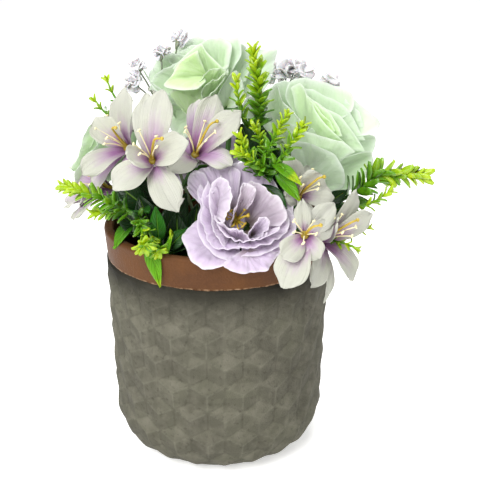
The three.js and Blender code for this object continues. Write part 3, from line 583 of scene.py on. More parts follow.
def make_pot():
    """The concrete pot. Its side gets the relief, and the values of it that the finish reads."""
    rows = 150
    side = [side_at(FIGURED_LENGTH * (1 - k / rows), 0) for k in range(rows + 1)]
    underside = [(0, 0), (8, 0), (16, 0), (24, 0), (31, 0)]
    collar_foot = (SIDE_TOP_RADIUS - COLLAR_TUCK, SIDE_TOP + COLLAR_TUCK)
    collar = straight(collar_foot, (RIM_RADIUS, POT_HEIGHT - COLLAR_TOP_ROUND), 12)
    rim = collar_rim(0, 5)
    inner_foot = SIDE_FOOT_RADIUS - WALL
    inside = straight((RIM_RADIUS - WALL, POT_HEIGHT - 3), (inner_foot, EDGE_ROUND), 14)
    corner = 14
    inside += arc((inner_foot - corner, FLOOR + corner), corner, 0, -90, 6) + [(20, FLOOR), (0, FLOOR)]
    bm = spun(underside + side + collar + rim + inside, steps=420)
    ridges, facet_shade_and_tone = bm.verts.layers.float["ridge"], bm.verts.layers.float["facet_shade_and_tone"]
    for vert in bm.verts:
        r, z = hypot(vert.co.x, vert.co.y), vert.co.z
        turn = atan2(vert.co.y, vert.co.x)
        if z > SIDE_TOP + 0.01 or z < 0.001:
            continue
        if z >= EDGE_ROUND:
            down = (SIDE_TOP - z) / (SIDE_TOP - EDGE_ROUND) * SIDE_LENGTH
        else:
            down = SIDE_LENGTH + EDGE_ROUND * atan2(EDGE_ROUND - z, r - SIDE_FOOT_RADIUS + EDGE_ROUND)
        if abs(side_at(down, 0)[0] - r) > 0.05:
            continue
        height, vert[ridges], vert[facet_shade_and_tone] = figured(turn, down)
        unevenness = 0.1 * noise.noise(vert.co * 0.06) + 0.05 * noise.noise(vert.co * 0.5)
        r, z = side_at(down, RELIEF * height + unevenness)
        vert.co = (r * cos(turn), r * sin(turn), z)
    add_piece("pot_body", bm, "concrete", ["pot"])


def make_collar_paint():
    """The coat of paint over the collar, the rim and the inner wall; its lower edge runs unevenly."""
    coat = 0.18
    foot = (SIDE_TOP_RADIUS - COLLAR_TUCK + coat, SIDE_TOP + COLLAR_TUCK + 0.6)
    bottom = FOAM_TOP - 6
    inner = RIM_RADIUS - WALL
    inner_low = inner - SIDE_SLOPE * (POT_HEIGHT - bottom)
    outer = straight(foot, (RIM_RADIUS + coat, POT_HEIGHT - COLLAR_TOP_ROUND), 16)
    outer += collar_rim(coat, 6)
    outer += [(inner - coat, POT_HEIGHT - 8), (inner_low - coat, bottom)]
    buried = [(inner_low + 0.5, bottom), (inner + 0.5, POT_HEIGHT - 2.5), (inner + 1.6, POT_HEIGHT - 0.6),
              (RIM_RADIUS - 1.8, POT_HEIGHT - 0.6), (RIM_RADIUS - 0.5, POT_HEIGHT - 2.5),
              (foot[0] - coat - 0.5, foot[1])]
    bm = spun(outer + buried + [outer[0]], steps=300)
    tones = bm.verts.layers.float["tone"]
    for vert in bm.verts:
        if vert.co.z < foot[1] + 0.01 and hypot(vert.co.x, vert.co.y) > SIDE_TOP_RADIUS - 2.5:
            turn = atan2(vert.co.y, vert.co.x)
            outwards = Vector((cos(turn), sin(turn), 0))
            vert.co.z += 0.55 * noise.noise(outwards * 5) + 0.35 * noise.noise(outwards * 22)
            vert[tones] = 1
    add_piece("collar_paint", bm, "copper_paint", ["pot"])


def make_foam():
    """The block of foam, a little clear of the pot all round, with a crumbly top."""
    foot_radius = SIDE_FOOT_RADIUS - WALL - 0.7
    top_radius = foot_radius + SIDE_SLOPE * (FOAM_TOP - EDGE_ROUND)
    underside = FLOOR + 0.4
    profile = straight((0, underside), (foot_radius - EDGE_ROUND / 2, underside), 3)
    profile += [(foot_radius - EDGE_ROUND / 2, underside), (foot_radius, EDGE_ROUND)]
    profile += straight((top_radius, FOAM_TOP - 0.8), (top_radius - 0.8, FOAM_TOP), 1)
    profile += straight((top_radius - 0.8, FOAM_TOP), (0, FOAM_TOP), 40) + [(0, FOAM_TOP)]
    bm = spun(profile, steps=140)
    for vert in bm.verts:
        if vert.co.z > FOAM_TOP - 0.5:
            vert.co.z += 1.1 * noise.noise(vert.co * 0.12) + 0.5 * noise.noise(vert.co * 0.7) - 0.8
    add_piece("foam", bm, "foam", ["foam_block"])


# ---------------------------------------------------------------- petals

# How wide a petal or leaf is at a share of its length.
OUTLINES = {
    "round": lambda v: max(0.1, sin(0.68 * pi * max(v, 0) ** 1.1)),
    "lily": lambda v: sin(pi / 2 * min(1, 0.16 + 1.3 * v)) * sqrt(1 - min(0.95, max(0, 3.4 * v - 2.4) ** 2)),
    "leaf": lambda v: max(0.05, sin(pi * min(1, max(v, 0)) ** 0.9)),
}


def grown_spine(azimuth, foot, lift, rise, bend, roll, length):
    """The middle line of a petal in a ring. It starts at radius foot and height lift from the flower's axis,
    rises at an angle above the flower's plane, and turns by bend on its way and by roll near its tip."""
    slices = 10
    turned = Matrix.Rotation(azimuth, 3, "Z")

    def spine(t):
        radius, height = foot, lift
        for i in range(slices):
            part = (i + 0.5) / slices * t
            angle = rise + bend * part + roll * part ** 4
            radius += cos(angle) * length * t / slices
            height += sin(angle) * length * t / slices
        angle = rise + bend * t + roll * t ** 4
        return (turned @ Vector((radius, 0, height)), turned @ Vector((0, 1, 0)),
                turned @ Vector((-sin(angle), 0, cos(angle))))

    return spine


def drawn_spine(foot, tip, facing, arch, back, twist=0.0):
    """The middle line of a petal drawn from its foot to its tip. It leaves the foot towards the flower's
    facing by arch, comes over backwards at the tip by back, and is turned about itself by twist."""
    facing = Vector(facing).normalized()
    chord = Vector(tip) - Vector(foot)
    length = chord.length
    along = chord / length
    first = Vector(foot) + (along * 0.3 + facing * arch) * length
    second = Vector(tip) - (along * 0.33 - facing * back) * length
    ends = [Vector(foot), first, second, Vector(tip)]

    def spine(t):
        shares = [(1 - t) ** 3, 3 * t * (1 - t) ** 2, 3 * t * t * (1 - t), t ** 3]
        point = sum((e * w for e, w in zip(ends, shares)), Vector())
        steps = [(1 - t) ** 2, 2 * t * (1 - t), t * t]
        tangent = sum(((e - d) * w for d, e, w in zip(ends, ends[1:], steps)), Vector()).normalized()
        across = facing.cross(along).normalized()
        across.rotate(Matrix.Rotation(twist * t, 3, tangent))
        return point, across, tangent.cross(across).normalized()

    return spine


def petal_sheet(spine, width, cup, outline, wrap, crown, tilt=0.0, ruffle=0.0, waves=3.0, fold=0.0, rib=0.0,
                seed=0.0):
    """The sheet of a petal on its spine. It is curved across by wrap at its foot and by cup at its tip, crown
    shortens its sides and tilt lifts one of them. ruffle waves its edge, fold turns its sides back and rib
    sinks its middle line."""
    shape = OUTLINES[outline]

    def surface(u, v):
        middle, sideways, outwards = spine(v * (1 - crown * u * u))
        across = u * width / 2 * shape(v)
        curl = wrap + (cup - wrap) * min(1, 1.6 * v)
        rising = (1 - cos(across * curl)) / curl + tilt * u * shape(v)
        rising += ruffle * v * v * sin(waves * pi * u + seed) * (0.3 + 0.7 * abs(u))
        rising -= fold * abs(u) ** 4 * v + rib * exp(-(u / 0.16) ** 2) * (1 - 0.6 * v)
        return middle + sideways * (sin(across * curl) / curl) + outwards * rising

    return surface


def drawn_sheet(foot, rim, axis, bowl, lip):
    """The sheet of a petal drawn by its rim. It spreads from its foot like a bowl about the head's axis, and
    turns over by lip before the rim."""
    foot = Vector(foot)
    line = through(rim, 8)

    def surface(u, v):
        place = min(1, max(0, (u + 1) / 2)) * (len(line) - 1)
        k = min(len(line) - 2, floor(place))
        edge = line[k].lerp(line[k + 1], place - k) - foot
        height = axis * edge.dot(axis)
        grown = 0.05 + 0.95 * max(v, 0)
        over = lip * sin(pi * max(0, grown - 0.55) / 0.45)
        return foot + height * grown ** (1 + bowl) + (edge - height) * grown ** (1 - bowl) + axis * over

    return surface


def creased(sheet, depth, folds, seed, hem=1.0):
    """A sheet with the dents and sharp creases of pressed silk. They fan out from its foot and deepen towards
    its edge, which runs unevenly and keeps the share hem of their depth."""
    def surface(u, v):
        uneven = v * (1 + 0.035 * v * noise.noise(Vector((u * 5, seed, 7))))
        at = sheet(u, uneven)
        normal = (sheet(u + 0.01, uneven) - at).cross(sheet(u, uneven - 0.01) - at)
        if normal.length > 0:
            normal.normalize()
        dent = noise.noise(Vector((u * 1.1 + seed, v * 1.7, seed)))
        crease = 0.35 - abs(noise.noise(Vector((u * folds + seed, v * 1.2, seed * 0.7)))) * 1.7
        fine = 0.3 - abs(noise.noise(Vector((u * folds * 2.3, v * 3 + seed, seed * 0.3)))) * 1.5
        kept = v * (hem + (1 - hem) * min(1, 4 * (1 - min(1, v))))
        return at + normal * depth * kept * (dent + 0.7 * crease + 0.22 * fine)

    return surface


def lay_ring(bm, ring, seat, turn, size, look, rng, columns, rows, seen=False):
    """One ring of a head's petals, each a little different. A head that is seen has drawn petals on the near
    side, so there the ring's own are left out."""
    for i in range(ring["count"]):
        azimuth = turn + tau * i / ring["count"] + rng.uniform(-0.16, 0.16)
        rise = radians(ring["rise"] + rng.uniform(-7, 7))
        bend = radians(ring["bend"] + rng.uniform(-8, 8))
        roll = radians(ring["roll"] + rng.uniform(-20, 20))
        length = ring["length"] * size * rng.uniform(0.93, 1.05)
        spine = grown_spine(azimuth, ring["foot"] * size, ring["lift"] * size, rise, bend, roll, length)
        width = ring["width"] * size * rng.uniform(0.92, 1.08)
        seed, tone = rng.uniform(0, 50), rng.random()
        pointing = seat.to_3x3() @ Vector((cos(azimuth), sin(azimuth), 0))
        if seen and pointing.dot(VIEW) < 0.4:
            continue
        sheet = petal_sheet(spine, width, ring["cup"], seed=seed, **look)
        sheet = creased(sheet, depth=2.2 * size, folds=2.0, seed=seed)
        lay_blade(bm, lambda u, v: seat @ sheet(u, v), columns, rows, tone, ring["heart"])


def lay_drawn(bm, head, depth, folds, columns):
    """The petals on the near side of a head, each drawn by its foot and rim. Their points are given to the
    right of the head's place, above it and towards the viewer."""
    picture = standing(head["at"], -VIEW)
    axis = (picture.to_3x3().inverted() @ Vector(head["facing"])).normalized()
    for name, petal in head["petals"].items():
        rng = Random(head["name"] + name)
        sheet = drawn_sheet(petal["foot"], petal["rim"], axis, petal.get("bowl", 0.22), petal.get("lip", 1.2))
        sheet = creased(sheet, depth, folds, rng.uniform(0, 50))
        lay_blade(bm, lambda u, v: picture @ sheet(u, v), columns, 14, rng.random(), petal.get("heart", 0.0))


ROSE_RINGS = [
    dict(count=3, foot=2.6, lift=9, rise=84, bend=20, roll=0, length=16, width=16, cup=0.22, heart=1.0),
    dict(count=3, foot=4.2, lift=9, rise=78, bend=20, roll=-20, length=20, width=26, cup=0.11, heart=0.8),
    dict(count=3, foot=5.2, lift=8, rise=66, bend=24, roll=-50, length=25, width=35, cup=0.06, heart=0.45),
    dict(count=4, foot=5.2, lift=6, rise=50, bend=26, roll=-60, length=30, width=41, cup=0.045, heart=0.2),
    dict(count=5, foot=5.2, lift=4, rise=34, bend=28, roll=-60, length=33.5, width=42, cup=0.035, heart=0.05),
    dict(count=5, foot=5.2, lift=2, rise=18, bend=30, roll=-64, length=35, width=42, cup=0.03, heart=0.0),
]
LISIANTHUS_RINGS = [
    dict(count=3, foot=6.0, lift=7, rise=76, bend=-14, roll=-30, length=19, width=32, cup=0.05, heart=0.2),
    dict(count=3, foot=6.0, lift=6, rise=58, bend=-6, roll=-45, length=24, width=40, cup=0.03, heart=0.0),
    dict(count=4, foot=5.4, lift=4, rise=34, bend=14, roll=-46, length=28, width=42, cup=0.025, heart=0.0),
    dict(count=5, foot=4.8, lift=2, rise=12, bend=22, roll=-46, length=31, width=42, cup=0.02, heart=0.0),
]

# The flowers with their places, the way they face and their holes in the foam. A drawn petal has a foot and
# a rim, and may say how far it takes the heart's colour.
ROSES = [
    dict(name="rose_top", at=(0, 23, 197), facing=(-0.47, -0.45, 0.76), turn=0.2, size=1.05,
         hole=(0, 14), petals={
        "low_left": dict(foot=(-6.5, 2.5, -4), heart=0.1, bowl=0.1, rim=[
            (-13, -16, 2), (-19, -17, 2), (-24, -15, 3), (-28, -9, 4), (-29, -2.5, 4), (-28, 2.5, 4)]),
        "corner": dict(foot=(4.5, 4, -8), bowl=0.05, rim=[
            (12.5, 33, -6), (19.5, 35.5, -6), (27, 36.5, -7), (35.5, 36.5, -8), (34.5, 30, -8),
            (32.5, 20.5, -7), (26.5, 9.5, -6)]),
        "lobe_right": dict(foot=(4, 6, -4), bowl=0.05, rim=[
            (6.5, 34, 1), (9.5, 37.5, 1), (13, 38.5, 0), (16.5, 37, -1), (19, 32.5, -2),
            (19.5, 25.5, -2), (17, 16, -2)]),
        "back_wide": dict(foot=(-1.5, 15, 3), heart=0.1, bowl=0.05, lip=2.0, rim=[
            (-9.5, 36, 9), (-6, 38.5, 8), (-2, 39.5, 7), (2, 40, 6), (5.5, 38, 6), (9, 34.5, 7),
            (8.5, 28.5, 9), (7.5, 23, 11), (5.5, 20, 12)]),
        "left_top": dict(foot=(-6, 10, 0), heart=0.05, bowl=0.1, rim=[
            (-28, 26.5, 4), (-24.5, 30.5, 4), (-20, 33, 5), (-15, 35.5, 6), (-10, 36, 7), (-6.5, 34, 8)]),
        "left_outer": dict(foot=(-7.5, 8, -2), bowl=0.1, rim=[
            (-38.5, 14, 2), (-36.5, 23.5, 3), (-34.5, 29, 3), (-28.5, 31, 5), (-21, 30.5, 7),
            (-16, 28.5, 9)]),
        "left_mid": dict(foot=(-8.5, 7.5, 2), heart=0.05, bowl=0.1, rim=[
            (-39, 10, 6), (-35.5, 18, 8), (-31, 21, 10), (-26, 23, 11), (-20.5, 25.5, 12),
            (-16, 28, 12)]),
        "side_right": dict(foot=(5.5, 0.5, 0), bowl=0.0, rim=[
            (-4.5, -3, 11), (-1, 4, 13), (3, 10, 12), (6, 15, 11), (9, 19.5, 9), (11.5, 21, 8),
            (14, 18, 6), (16, 10.5, 4), (14.5, 0, 3)]),
        "peak": dict(foot=(-2.5, 13, 3), heart=0.45, bowl=0.0, rim=[
            (-25, 20.5, 13), (-20.5, 26, 13), (-15, 31, 12), (-9, 36, 11), (-5, 31, 12), (-1, 27, 13),
            (3, 23, 14), (6, 20.5, 14), (7.5, 17, 13)]),
        "centre": dict(foot=(-4, 16.5, 8), heart=0.85, bowl=-0.25, lip=1.5, rim=[
            (-10, 31, 13), (-14.5, 28.5, 14), (-19, 25.5, 16), (-22.5, 22, 17), (-24.5, 16, 19),
            (-29, 10.5, 20), (-24.5, 7.5, 23), (-17.5, 6, 25), (-11, 6.5, 25), (-7.5, 9.5, 23),
            (-5.5, 13, 19)]),
        "fold_inner": dict(foot=(-2.5, 6.5, 6), heart=0.65, bowl=-0.2, rim=[
            (-10, 9, 21), (-8.5, 12, 21), (-6, 15.5, 20), (-2.5, 19, 18), (1, 21, 16), (4.5, 20.5, 14)]),
        "fold_outer": dict(foot=(-1.5, 2.5, 4), heart=0.5, bowl=-0.2, rim=[
            (-8, 3.5, 20), (-6.5, 8, 21), (-3, 12.5, 20), (0, 15, 18), (4, 17.5, 16), (6, 20, 14)]),
        "fold_last": dict(foot=(-1.5, -1, 2), heart=0.35, bowl=-0.15, rim=[
            (-8.5, -0.5, 17), (-5.5, 3.5, 18), (-2.5, 6.5, 18), (0.5, 9.5, 17), (4, 13, 15),
            (6, 17.5, 13), (7.5, 22, 11)]),
        "front": dict(foot=(-14, -7, 6), heart=0.6, bowl=-0.1, rim=[
            (-17, -5.5, 11), (-22, 1, 14), (-26, 7, 18), (-21, 9, 20), (-14.5, 9, 21), (-9, 10, 20),
            (-6.5, 6, 18), (-10, -1.5, 14)]),
        "left_low": dict(foot=(-23.5, -5.5, 2), rim=[
            (-45, 24.5, 2), (-40.5, 20, 5), (-35.5, 14, 9), (-30.5, 9, 12), (-27, 2.5, 13),
            (-25.5, -3.5, 12)]),
    }),
    dict(name="rose_right", at=(52, -1, 178), facing=(0.14, -0.48, 0.86), turn=1.1, size=1.04,
         hole=(26, 0), petals={
        "outer_top": dict(foot=(4.5, 7, -8), rim=[
            (-11, 36.5, -1), (-5, 38.5, 0), (1.5, 38.5, 0), (8.5, 37, 0), (14.5, 36, -1), (20.5, 33, -2),
            (23.5, 28.5, -3), (25, 23.5, -3)]),
        "outer_right": dict(foot=(8, 0, -8), rim=[
            (20, 29.5, 3), (24, 24.5, 3), (28, 22, 1), (30, 17, 0), (31, 12, -1), (34.5, 9.5, -2),
            (38, 8, -4), (37.5, 1, -5), (34.5, -4.5, -5)]),
        "outer_left": dict(foot=(-5, 2, -6), rim=[
            (-27, 21.5, 2), (-26, 29, 4), (-23.5, 34, 4), (-18.5, 37.5, 3), (-12, 39, 2), (-5.5, 38, 1)]),
        "far_right": dict(foot=(5, 1.5, 0), heart=0.1, lip=2.0, rim=[
            (-4, 34, 8), (-1, 29, 10), (5, 23.5, 13), (10.5, 20.5, 14), (16.5, 17.5, 13), (22, 11, 11),
            (27, 4.5, 9), (32, -2.5, 6)]),
        "upper_fold": dict(foot=(6.5, 4, -3), lip=2.0, rim=[
            (-3.5, 35, 5), (1, 33.5, 6), (6.5, 30.5, 7), (13.5, 27.5, 7), (19.5, 24, 6), (24, 18, 5),
            (28.5, 10.5, 5), (31.5, 5, 4)]),
        "heart_far": dict(foot=(3.5, 4.5, 6), heart=0.55, rim=[
            (-4, 31, 13), (0.5, 27, 15), (5, 23, 17), (9.5, 18.5, 18), (13.5, 11.5, 19), (17, 6, 18)]),
        "heart": dict(foot=(3, 5, 8), heart=0.9, rim=[
            (-2, 28.5, 17), (1.5, 24.5, 18), (4.5, 20, 19), (8.5, 15, 20), (12.5, 8.5, 21)]),
        "near_inner": dict(foot=(-1, 0, 4), heart=0.4, lip=2.4, rim=[
            (-11.5, 34, 10), (-6, 36, 12), (-3, 32, 15), (-0.5, 27, 17), (1.5, 22, 19), (7, 14, 22),
            (14, 6, 22), (18.5, 1.5, 19)]),
        "near_left": dict(foot=(-10, 0, 4), heart=0.15, lip=2.4, rim=[
            (-25.5, 20.5, 9), (-22.5, 30.5, 10), (-19, 35.5, 12), (-17, 30, 16), (-15, 24.5, 19),
            (-11, 19.5, 22), (-7, 15, 24), (-1.5, 10, 25)]),
        "right_low": dict(foot=(4.5, -11.5, -6), rim=[
            (15, -6, 10), (20.5, -3, 11), (26, -1, 10), (31.5, -0.5, 8), (35.5, -2, 4), (35.5, -8, 1),
            (32.5, -14.5, -1), (27.5, -20, -3), (19.5, -23.5, -5), (12, -22, -4)]),
        "near_mid": dict(foot=(-1, -14.5, 4), heart=0.1, lip=2.4, rim=[
            (-13, 13, 17), (-7.5, 10, 22), (-2.5, 8, 26), (2.5, 6, 28), (7.5, 4, 29), (13, 2.5, 27),
            (18.5, 1.5, 23), (24.5, -2.5, 17)]),
        "round_low": dict(foot=(-5.5, -17.5, 2), rim=[
            (-12.5, 3.5, 12), (-6.5, 3.5, 18), (0.5, 2, 22), (6.5, -1, 24), (12, -4.5, 24),
            (16, -10, 22), (18.5, -15.5, 18), (18, -20.5, 14), (14, -23, 10), (4.5, -24, 6)]),
    }),
    dict(name="rose_left", at=(-50, 25, 164), facing=(-0.85, 0, 0.5), turn=0.5, size=0.96,
         hole=(-22, 16), petals={}),
    dict(name="rose_back", at=(38, 40, 166), facing=(0.55, 0.65, 0.55), turn=0.9, size=0.95,
         hole=(18, 26), petals={}),
]
LISIANTHUS = [
    dict(name="lisianthus_front", at=(9, -46, 151), facing=(0.1, -0.85, 0.5), turn=0.3, size=0.97,
         hole=(8, -34), petals={
        "top_right_lobe": dict(foot=(5, 0.5, -4), rim=[
            (-3.5, 26.5, 2), (-1, 31, 2), (5, 31.5, 3), (10.5, 29.5, 3), (15.5, 26.5, 3), (20, 23.5, 2),
            (23, 18, 2), (26, 14, 2)]),
        "top_lobe": dict(foot=(0.5, 0.5, -4), rim=[
            (-20.5, 24.5, -1), (-19, 28.5, 0), (-14.5, 29, 1), (-11, 30.5, 1), (-5.5, 31.5, 2),
            (-1.5, 30, 3), (3, 26.5, 4)]),
        "left_lobe": dict(foot=(-3.5, -0.5, -4), rim=[
            (-16, 26.5, 3), (-21.5, 27, 2), (-24.5, 24, 1), (-25, 19.5, 1), (-23, 14.5, 1),
            (-18.5, 10, 2), (-18, 4.5, 2)]),
        "low_left_lobe": dict(foot=(-6.5, -8, 5), rim=[
            (-19.5, 1.5, 1), (-23.5, -3, 3), (-27.5, -8, 6), (-25.5, -13, 10), (-23.5, -18, 14),
            (-19.5, -22, 16), (-14.5, -24.5, 17), (-8, -23.5, 17), (-1.5, -20.5, 15)]),
        "low_lobe": dict(foot=(6, -13, 13), rim=[
            (-6.5, -21.5, 15), (-3, -24.5, 16), (3, -26.5, 17), (10, -26, 17), (16.5, -25, 17),
            (20, -21, 15), (22.5, -15.5, 11)]),
        "right_lobe": dict(foot=(7, -1.5, -6), rim=[
            (19, -21.5, 14), (24, -16.5, 10), (28.5, -11.5, 6), (32, -5, 3), (32.5, 0.5, 3),
            (31, 5.5, 3), (30.5, 11, 3), (27.5, 15, 3)]),
        "ring_low_left": dict(foot=(-1.5, -2.5, -3), rim=[
            (5, -19, 15), (-1.5, -20, 16), (-8, -18.5, 15), (-14.5, -14, 12), (-17.5, -8.5, 10),
            (-19.5, -3, 7), (-19, 3.5, 7), (-17.5, 9, 6), (-19.5, 15, 5), (-18, 21, 4)]),
        "ring_right": dict(foot=(6, -2.5, -3), rim=[
            (3, -17.5, 15), (10, -17.5, 16), (18, -15.5, 15), (24, -12, 13), (28.5, -8.5, 11),
            (31.5, -3.5, 9), (31, 3, 8), (27.5, 8.5, 7)]),
        "mid_left": dict(foot=(-1.5, -3, 0), rim=[
            (3, -13, 17), (-5, -14, 17), (-10, -13, 16), (-13.5, -9.5, 14), (-15, -4, 12), (-17, 2, 12),
            (-16, 8.5, 11), (-16.5, 15, 10), (-13.5, 22, 9)]),
        "mid_right": dict(foot=(6, -3, 0), rim=[
            (1, -13.5, 17), (7, -14.5, 18), (13, -13, 18), (19, -10.5, 17), (24.5, -7, 14), (28, -2, 13),
            (27.5, 4.5, 12), (25, 9.5, 11)]),
        "back_right": dict(foot=(6, -1.5, 1), heart=0.2, rim=[
            (4.5, 18.5, 11), (8, 21, 13), (12, 19.5, 14), (15, 18, 15), (18, 14.5, 16), (22, 12.5, 16),
            (25, 7.5, 16), (27, 2.5, 16), (23, -2, 16)]),
        "inner_left": dict(foot=(-0.5, -3, 2), heart=0.05, rim=[
            (-4.5, -12.5, 17), (-8, -8.5, 17), (-11, -4, 17), (-12, 1.5, 16), (-13, 7.5, 15),
            (-13.5, 13.5, 14), (-11.5, 19.5, 12), (-6.5, 24.5, 11)]),
        "inner_low": dict(foot=(4, -8, 3), heart=0.05, rim=[
            (-10.5, 4, 14), (-8.5, -2, 17), (-5.5, -7, 20), (0, -10, 21), (6, -11.5, 22), (12, -10, 22),
            (18, -7, 20), (23.5, -2, 17)]),
        "fold_left": dict(foot=(-12, 8.5, 4), heart=0.05, rim=[
            (-6, -1, 18), (-4, 4.5, 20), (-2.5, 10.5, 21), (-2, 17, 20), (-4, 22.5, 18), (-8, 23.5, 16),
            (-12, 20, 14)]),
        "fold_back": dict(foot=(-1, -2, 3), heart=0.2, rim=[
            (-3, -2, 12), (-1.5, 5.5, 16), (2, 12.5, 18), (4, 19.5, 19), (7.5, 18.5, 19), (11, 16, 17),
            (9, 9.5, 13)]),
        "curl_right": dict(foot=(7.5, -7, 5), rim=[
            (6.5, -8, 16), (10, -3.5, 19), (12, 1, 20), (15, 2.5, 20), (17.5, 0.5, 19), (17, -3.5, 18),
            (13.5, -7.5, 18)]),
        "lip": dict(foot=(3, -11, 4), heart=0.05, rim=[
            (-11, 3, 15), (-7, 0, 18), (-4.5, -2.5, 20), (0, -4, 22), (3, -4, 22), (5.5, -6.5, 22),
            (8.5, -8, 22), (12.5, -7, 20), (17, -4.5, 18)]),
    }),
    dict(name="lisianthus_back", at=(-12, 50, 152), facing=(-0.1, 0.85, 0.5), turn=0.8, size=0.88,
         hole=(-6, 34), petals={}),
]
# Three or two lilies share a forked stem. Each petal is given by its tip, its width and how lilac it is.
LILY_SPRAYS = [
    dict(name="lily_stem_left", hole=(-20, -14), fork=(-26, -20, 150), lilies=[
        dict(name="lily_left", at=(-46, -13, 182.5), facing=(-0.65, -0.65, 0.35), size=0.92, petals=[
            ((-49, -9, 216), 17, 0.1), ((-65, -20, 202), 16, 0.25), ((-72, -30, 173), 14, 0.3),
            ((-70, -8, 157), 14, 0.9), ((-42, -34, 171), 13, 0.4), ((-40, 8, 202), 14, 0.2)]),
        dict(name="lily_middle", at=(-32.5, -38, 181.5), facing=(-0.2, -0.8, 0.45), size=0.92, petals=[
            ((-27, -36, 220), 16, 0.3), ((-14, -60, 198), 16, 0.0), ((-20, -56, 160), 15.5, 0.0),
            ((-53, -58, 173), 16, 0.15), ((-45, -62, 192), 12, 0.3), ((-36, -28, 217), 14, 0.0)]),
        dict(name="lily_upper", at=(-12.5, -27, 180), facing=(0.22, -0.6, 0.75), size=0.88, petals=[
            ((-9, -18, 211), 13, 1.0), ((0, -20, 214), 14, 0.5), ((13, -30, 207), 15, 0.2),
            ((8, -42, 181), 13, 0.8), ((-25, -48, 180), 14, 0.1), ((-22, -12, 187), 12, 0.6)]),
    ]),
    dict(name="lily_stem_right", hole=(28, -24), fork=(33, -32, 141), lilies=[
        dict(name="lily_low_right", at=(52, -46, 140.5), facing=(0.8, -0.5, 0.25), size=0.82, petals=[
            ((74, -36, 166), 12, 0.1), ((83, -38, 153), 12, 0.3), ((71, -58, 122), 20, 0.4),
            ((47, -76, 126), 14, 0.15), ((55, -64, 112), 8, 0.1), ((61, -62, 157), 12, 0.5)]),
        dict(name="lily_low_front", at=(44.5, -62, 150), facing=(-0.1, -0.85, 0.1), size=0.72, petals=[
            ((33, -77, 126), 17, 0.35), ((32, -77, 143), 12, 0.2), ((51, -74, 141), 12, 0.5),
            ((61, -50, 163), 12, 0.0), ((43, -58, 167), 8, 0.0), ((60, -58, 155), 10, 0.1)]),
        dict(name="lily_under_rose", at=(41, -36, 161), facing=(0.55, -0.65, 0.5), size=0.68, petals=[
            ((36, -30, 183), 12, 0.1), ((55, -38, 175), 15, 0.15), ((62, -40, 162), 11, 0.0),
            ((46, -52, 155), 9, 0.1), ((35, -48, 165), 9, 0.3), ((50, -24, 176), 10, 0.2)]),
    ]),
    dict(name="lily_stem_back", hole=(-32, 26), fork=(-42, 30, 142), lilies=[
        dict(name="lily_far_left", at=(-58, 4, 154), facing=(-0.9, -0.35, 0.25), size=0.78, petals=[
            ((-87, -2, 149), 12, 1.0), ((-86, -8, 147), 12, 1.0), ((-80, -19, 144), 16, 0.8),
            ((-81, 8, 164), 12, 1.0), ((-75, 14, 166), 11, 0.9), ((-76, -20, 153), 10, 1.0)]),
        dict(name="lily_back", at=(-16, 58, 188), facing=(-0.1, 0.7, 0.7), size=0.86, petals=[
            ((-9, 71, 221), 16, 0.1), ((12, 72, 203), 16, 0.2), ((3, 85, 180), 15, 0.1),
            ((-22, 87, 178), 15, 0.2), ((-44, 78, 198), 16, 0.1), ((-34, 66, 216), 15, 0.1)]),
    ]),
]


def stem_line(hole, points, steps):
    """The line of a stem: from its end in the foam up its hole, and on through the points above the foam."""
    end, above = Vector((*hole, FOAM_TOP - STICK_DEPTH)), Vector((*hole, FOAM_TOP + 1.5))
    return [end] + through([above, *points], steps)


def lay_turned(bm, seat, size, heights, spans, sides, tone):
    """A round part on the axis of a head, such as its cup or core, given by its radii at its heights."""
    lay_rod(bm, [seat @ Vector((0, 0, h * size)) for h in heights], [s * size for s in spans], sides, tone)


def lay_calyx(bm, seat, size):
    """The green cup under a head, with its five sepals."""
    blades = []
    for i in range(5):
        spine = grown_spine(tau * (i + 0.5) / 5, 1.5, -1.6, radians(-12), radians(-26), 0, 14 * size)
        sheet = petal_sheet(spine, 6.5 * size, 0.09, "leaf", wrap=0.1, crown=0, rib=0.4)
        blades += lay_blade(bm, lambda u, v: seat @ sheet(u, v), 4, 7, lambda v: 0.3 + 0.6 * v)
    thicken(bm, blades, SEPAL)
    heights = [-9, -8, -6.5, -4.5, -2.5, -1, -0.4]
    spans = [1.5, 1.7, 2.3, 3.4, 4.5, 5.0, 4.4]
    lay_turned(bm, seat, size, heights, spans, 14, 0.5)


def make_stalks():
    """Rose and lisianthus stalks: out of the foam, up and over to the head."""
    for flower in ROSES + LISIANTHUS:
        bm = new_shape()
        away = Vector(flower["facing"]).normalized()
        at, size = Vector(flower["at"]), flower["size"]
        lay_calyx(bm, standing(at, away), size)
        line = stem_line(flower["hole"], [at - away * 16, at - away * 6 * size], 12)
        lay_rod(bm, line, [STEM_RADIUS + 0.12 * sin(1.9 * k) for k in range(len(line))], 12, 0.35)
        add_piece(flower["name"] + "_stalk", bm, "stem", [flower["name"] + "_stem"])


def make_lily_stems():
    """The forked stems of the lilies, with a cup under each flower."""
    for spray in LILY_SPRAYS:
        bm = new_shape()
        fork = Vector(spray["fork"])
        line = stem_line(spray["hole"], [fork], 8)
        lay_rod(bm, line, [STEM_RADIUS] * len(line), 10, 0.35)
        for lily in spray["lilies"]:
            away = Vector(lily["facing"]).normalized()
            at = Vector(lily["at"])
            line = through([fork, at - away * 14, at - away * 5], 9)
            lay_rod(bm, line, [LILY_BRANCH_RADIUS] * len(line), 9, 0.45)
            heights = [-6, -4.5, -3, -1.6, -0.4]
            spans = [1.2, 1.6, 2.3, 3.2, 3.4]
            lay_rod(bm, [at + away * h for h in heights], [s * lily["size"] for s in spans], 10, 0.6)
        add_piece(spray["name"] + "_stalks", bm, "stem", [spray["name"]])


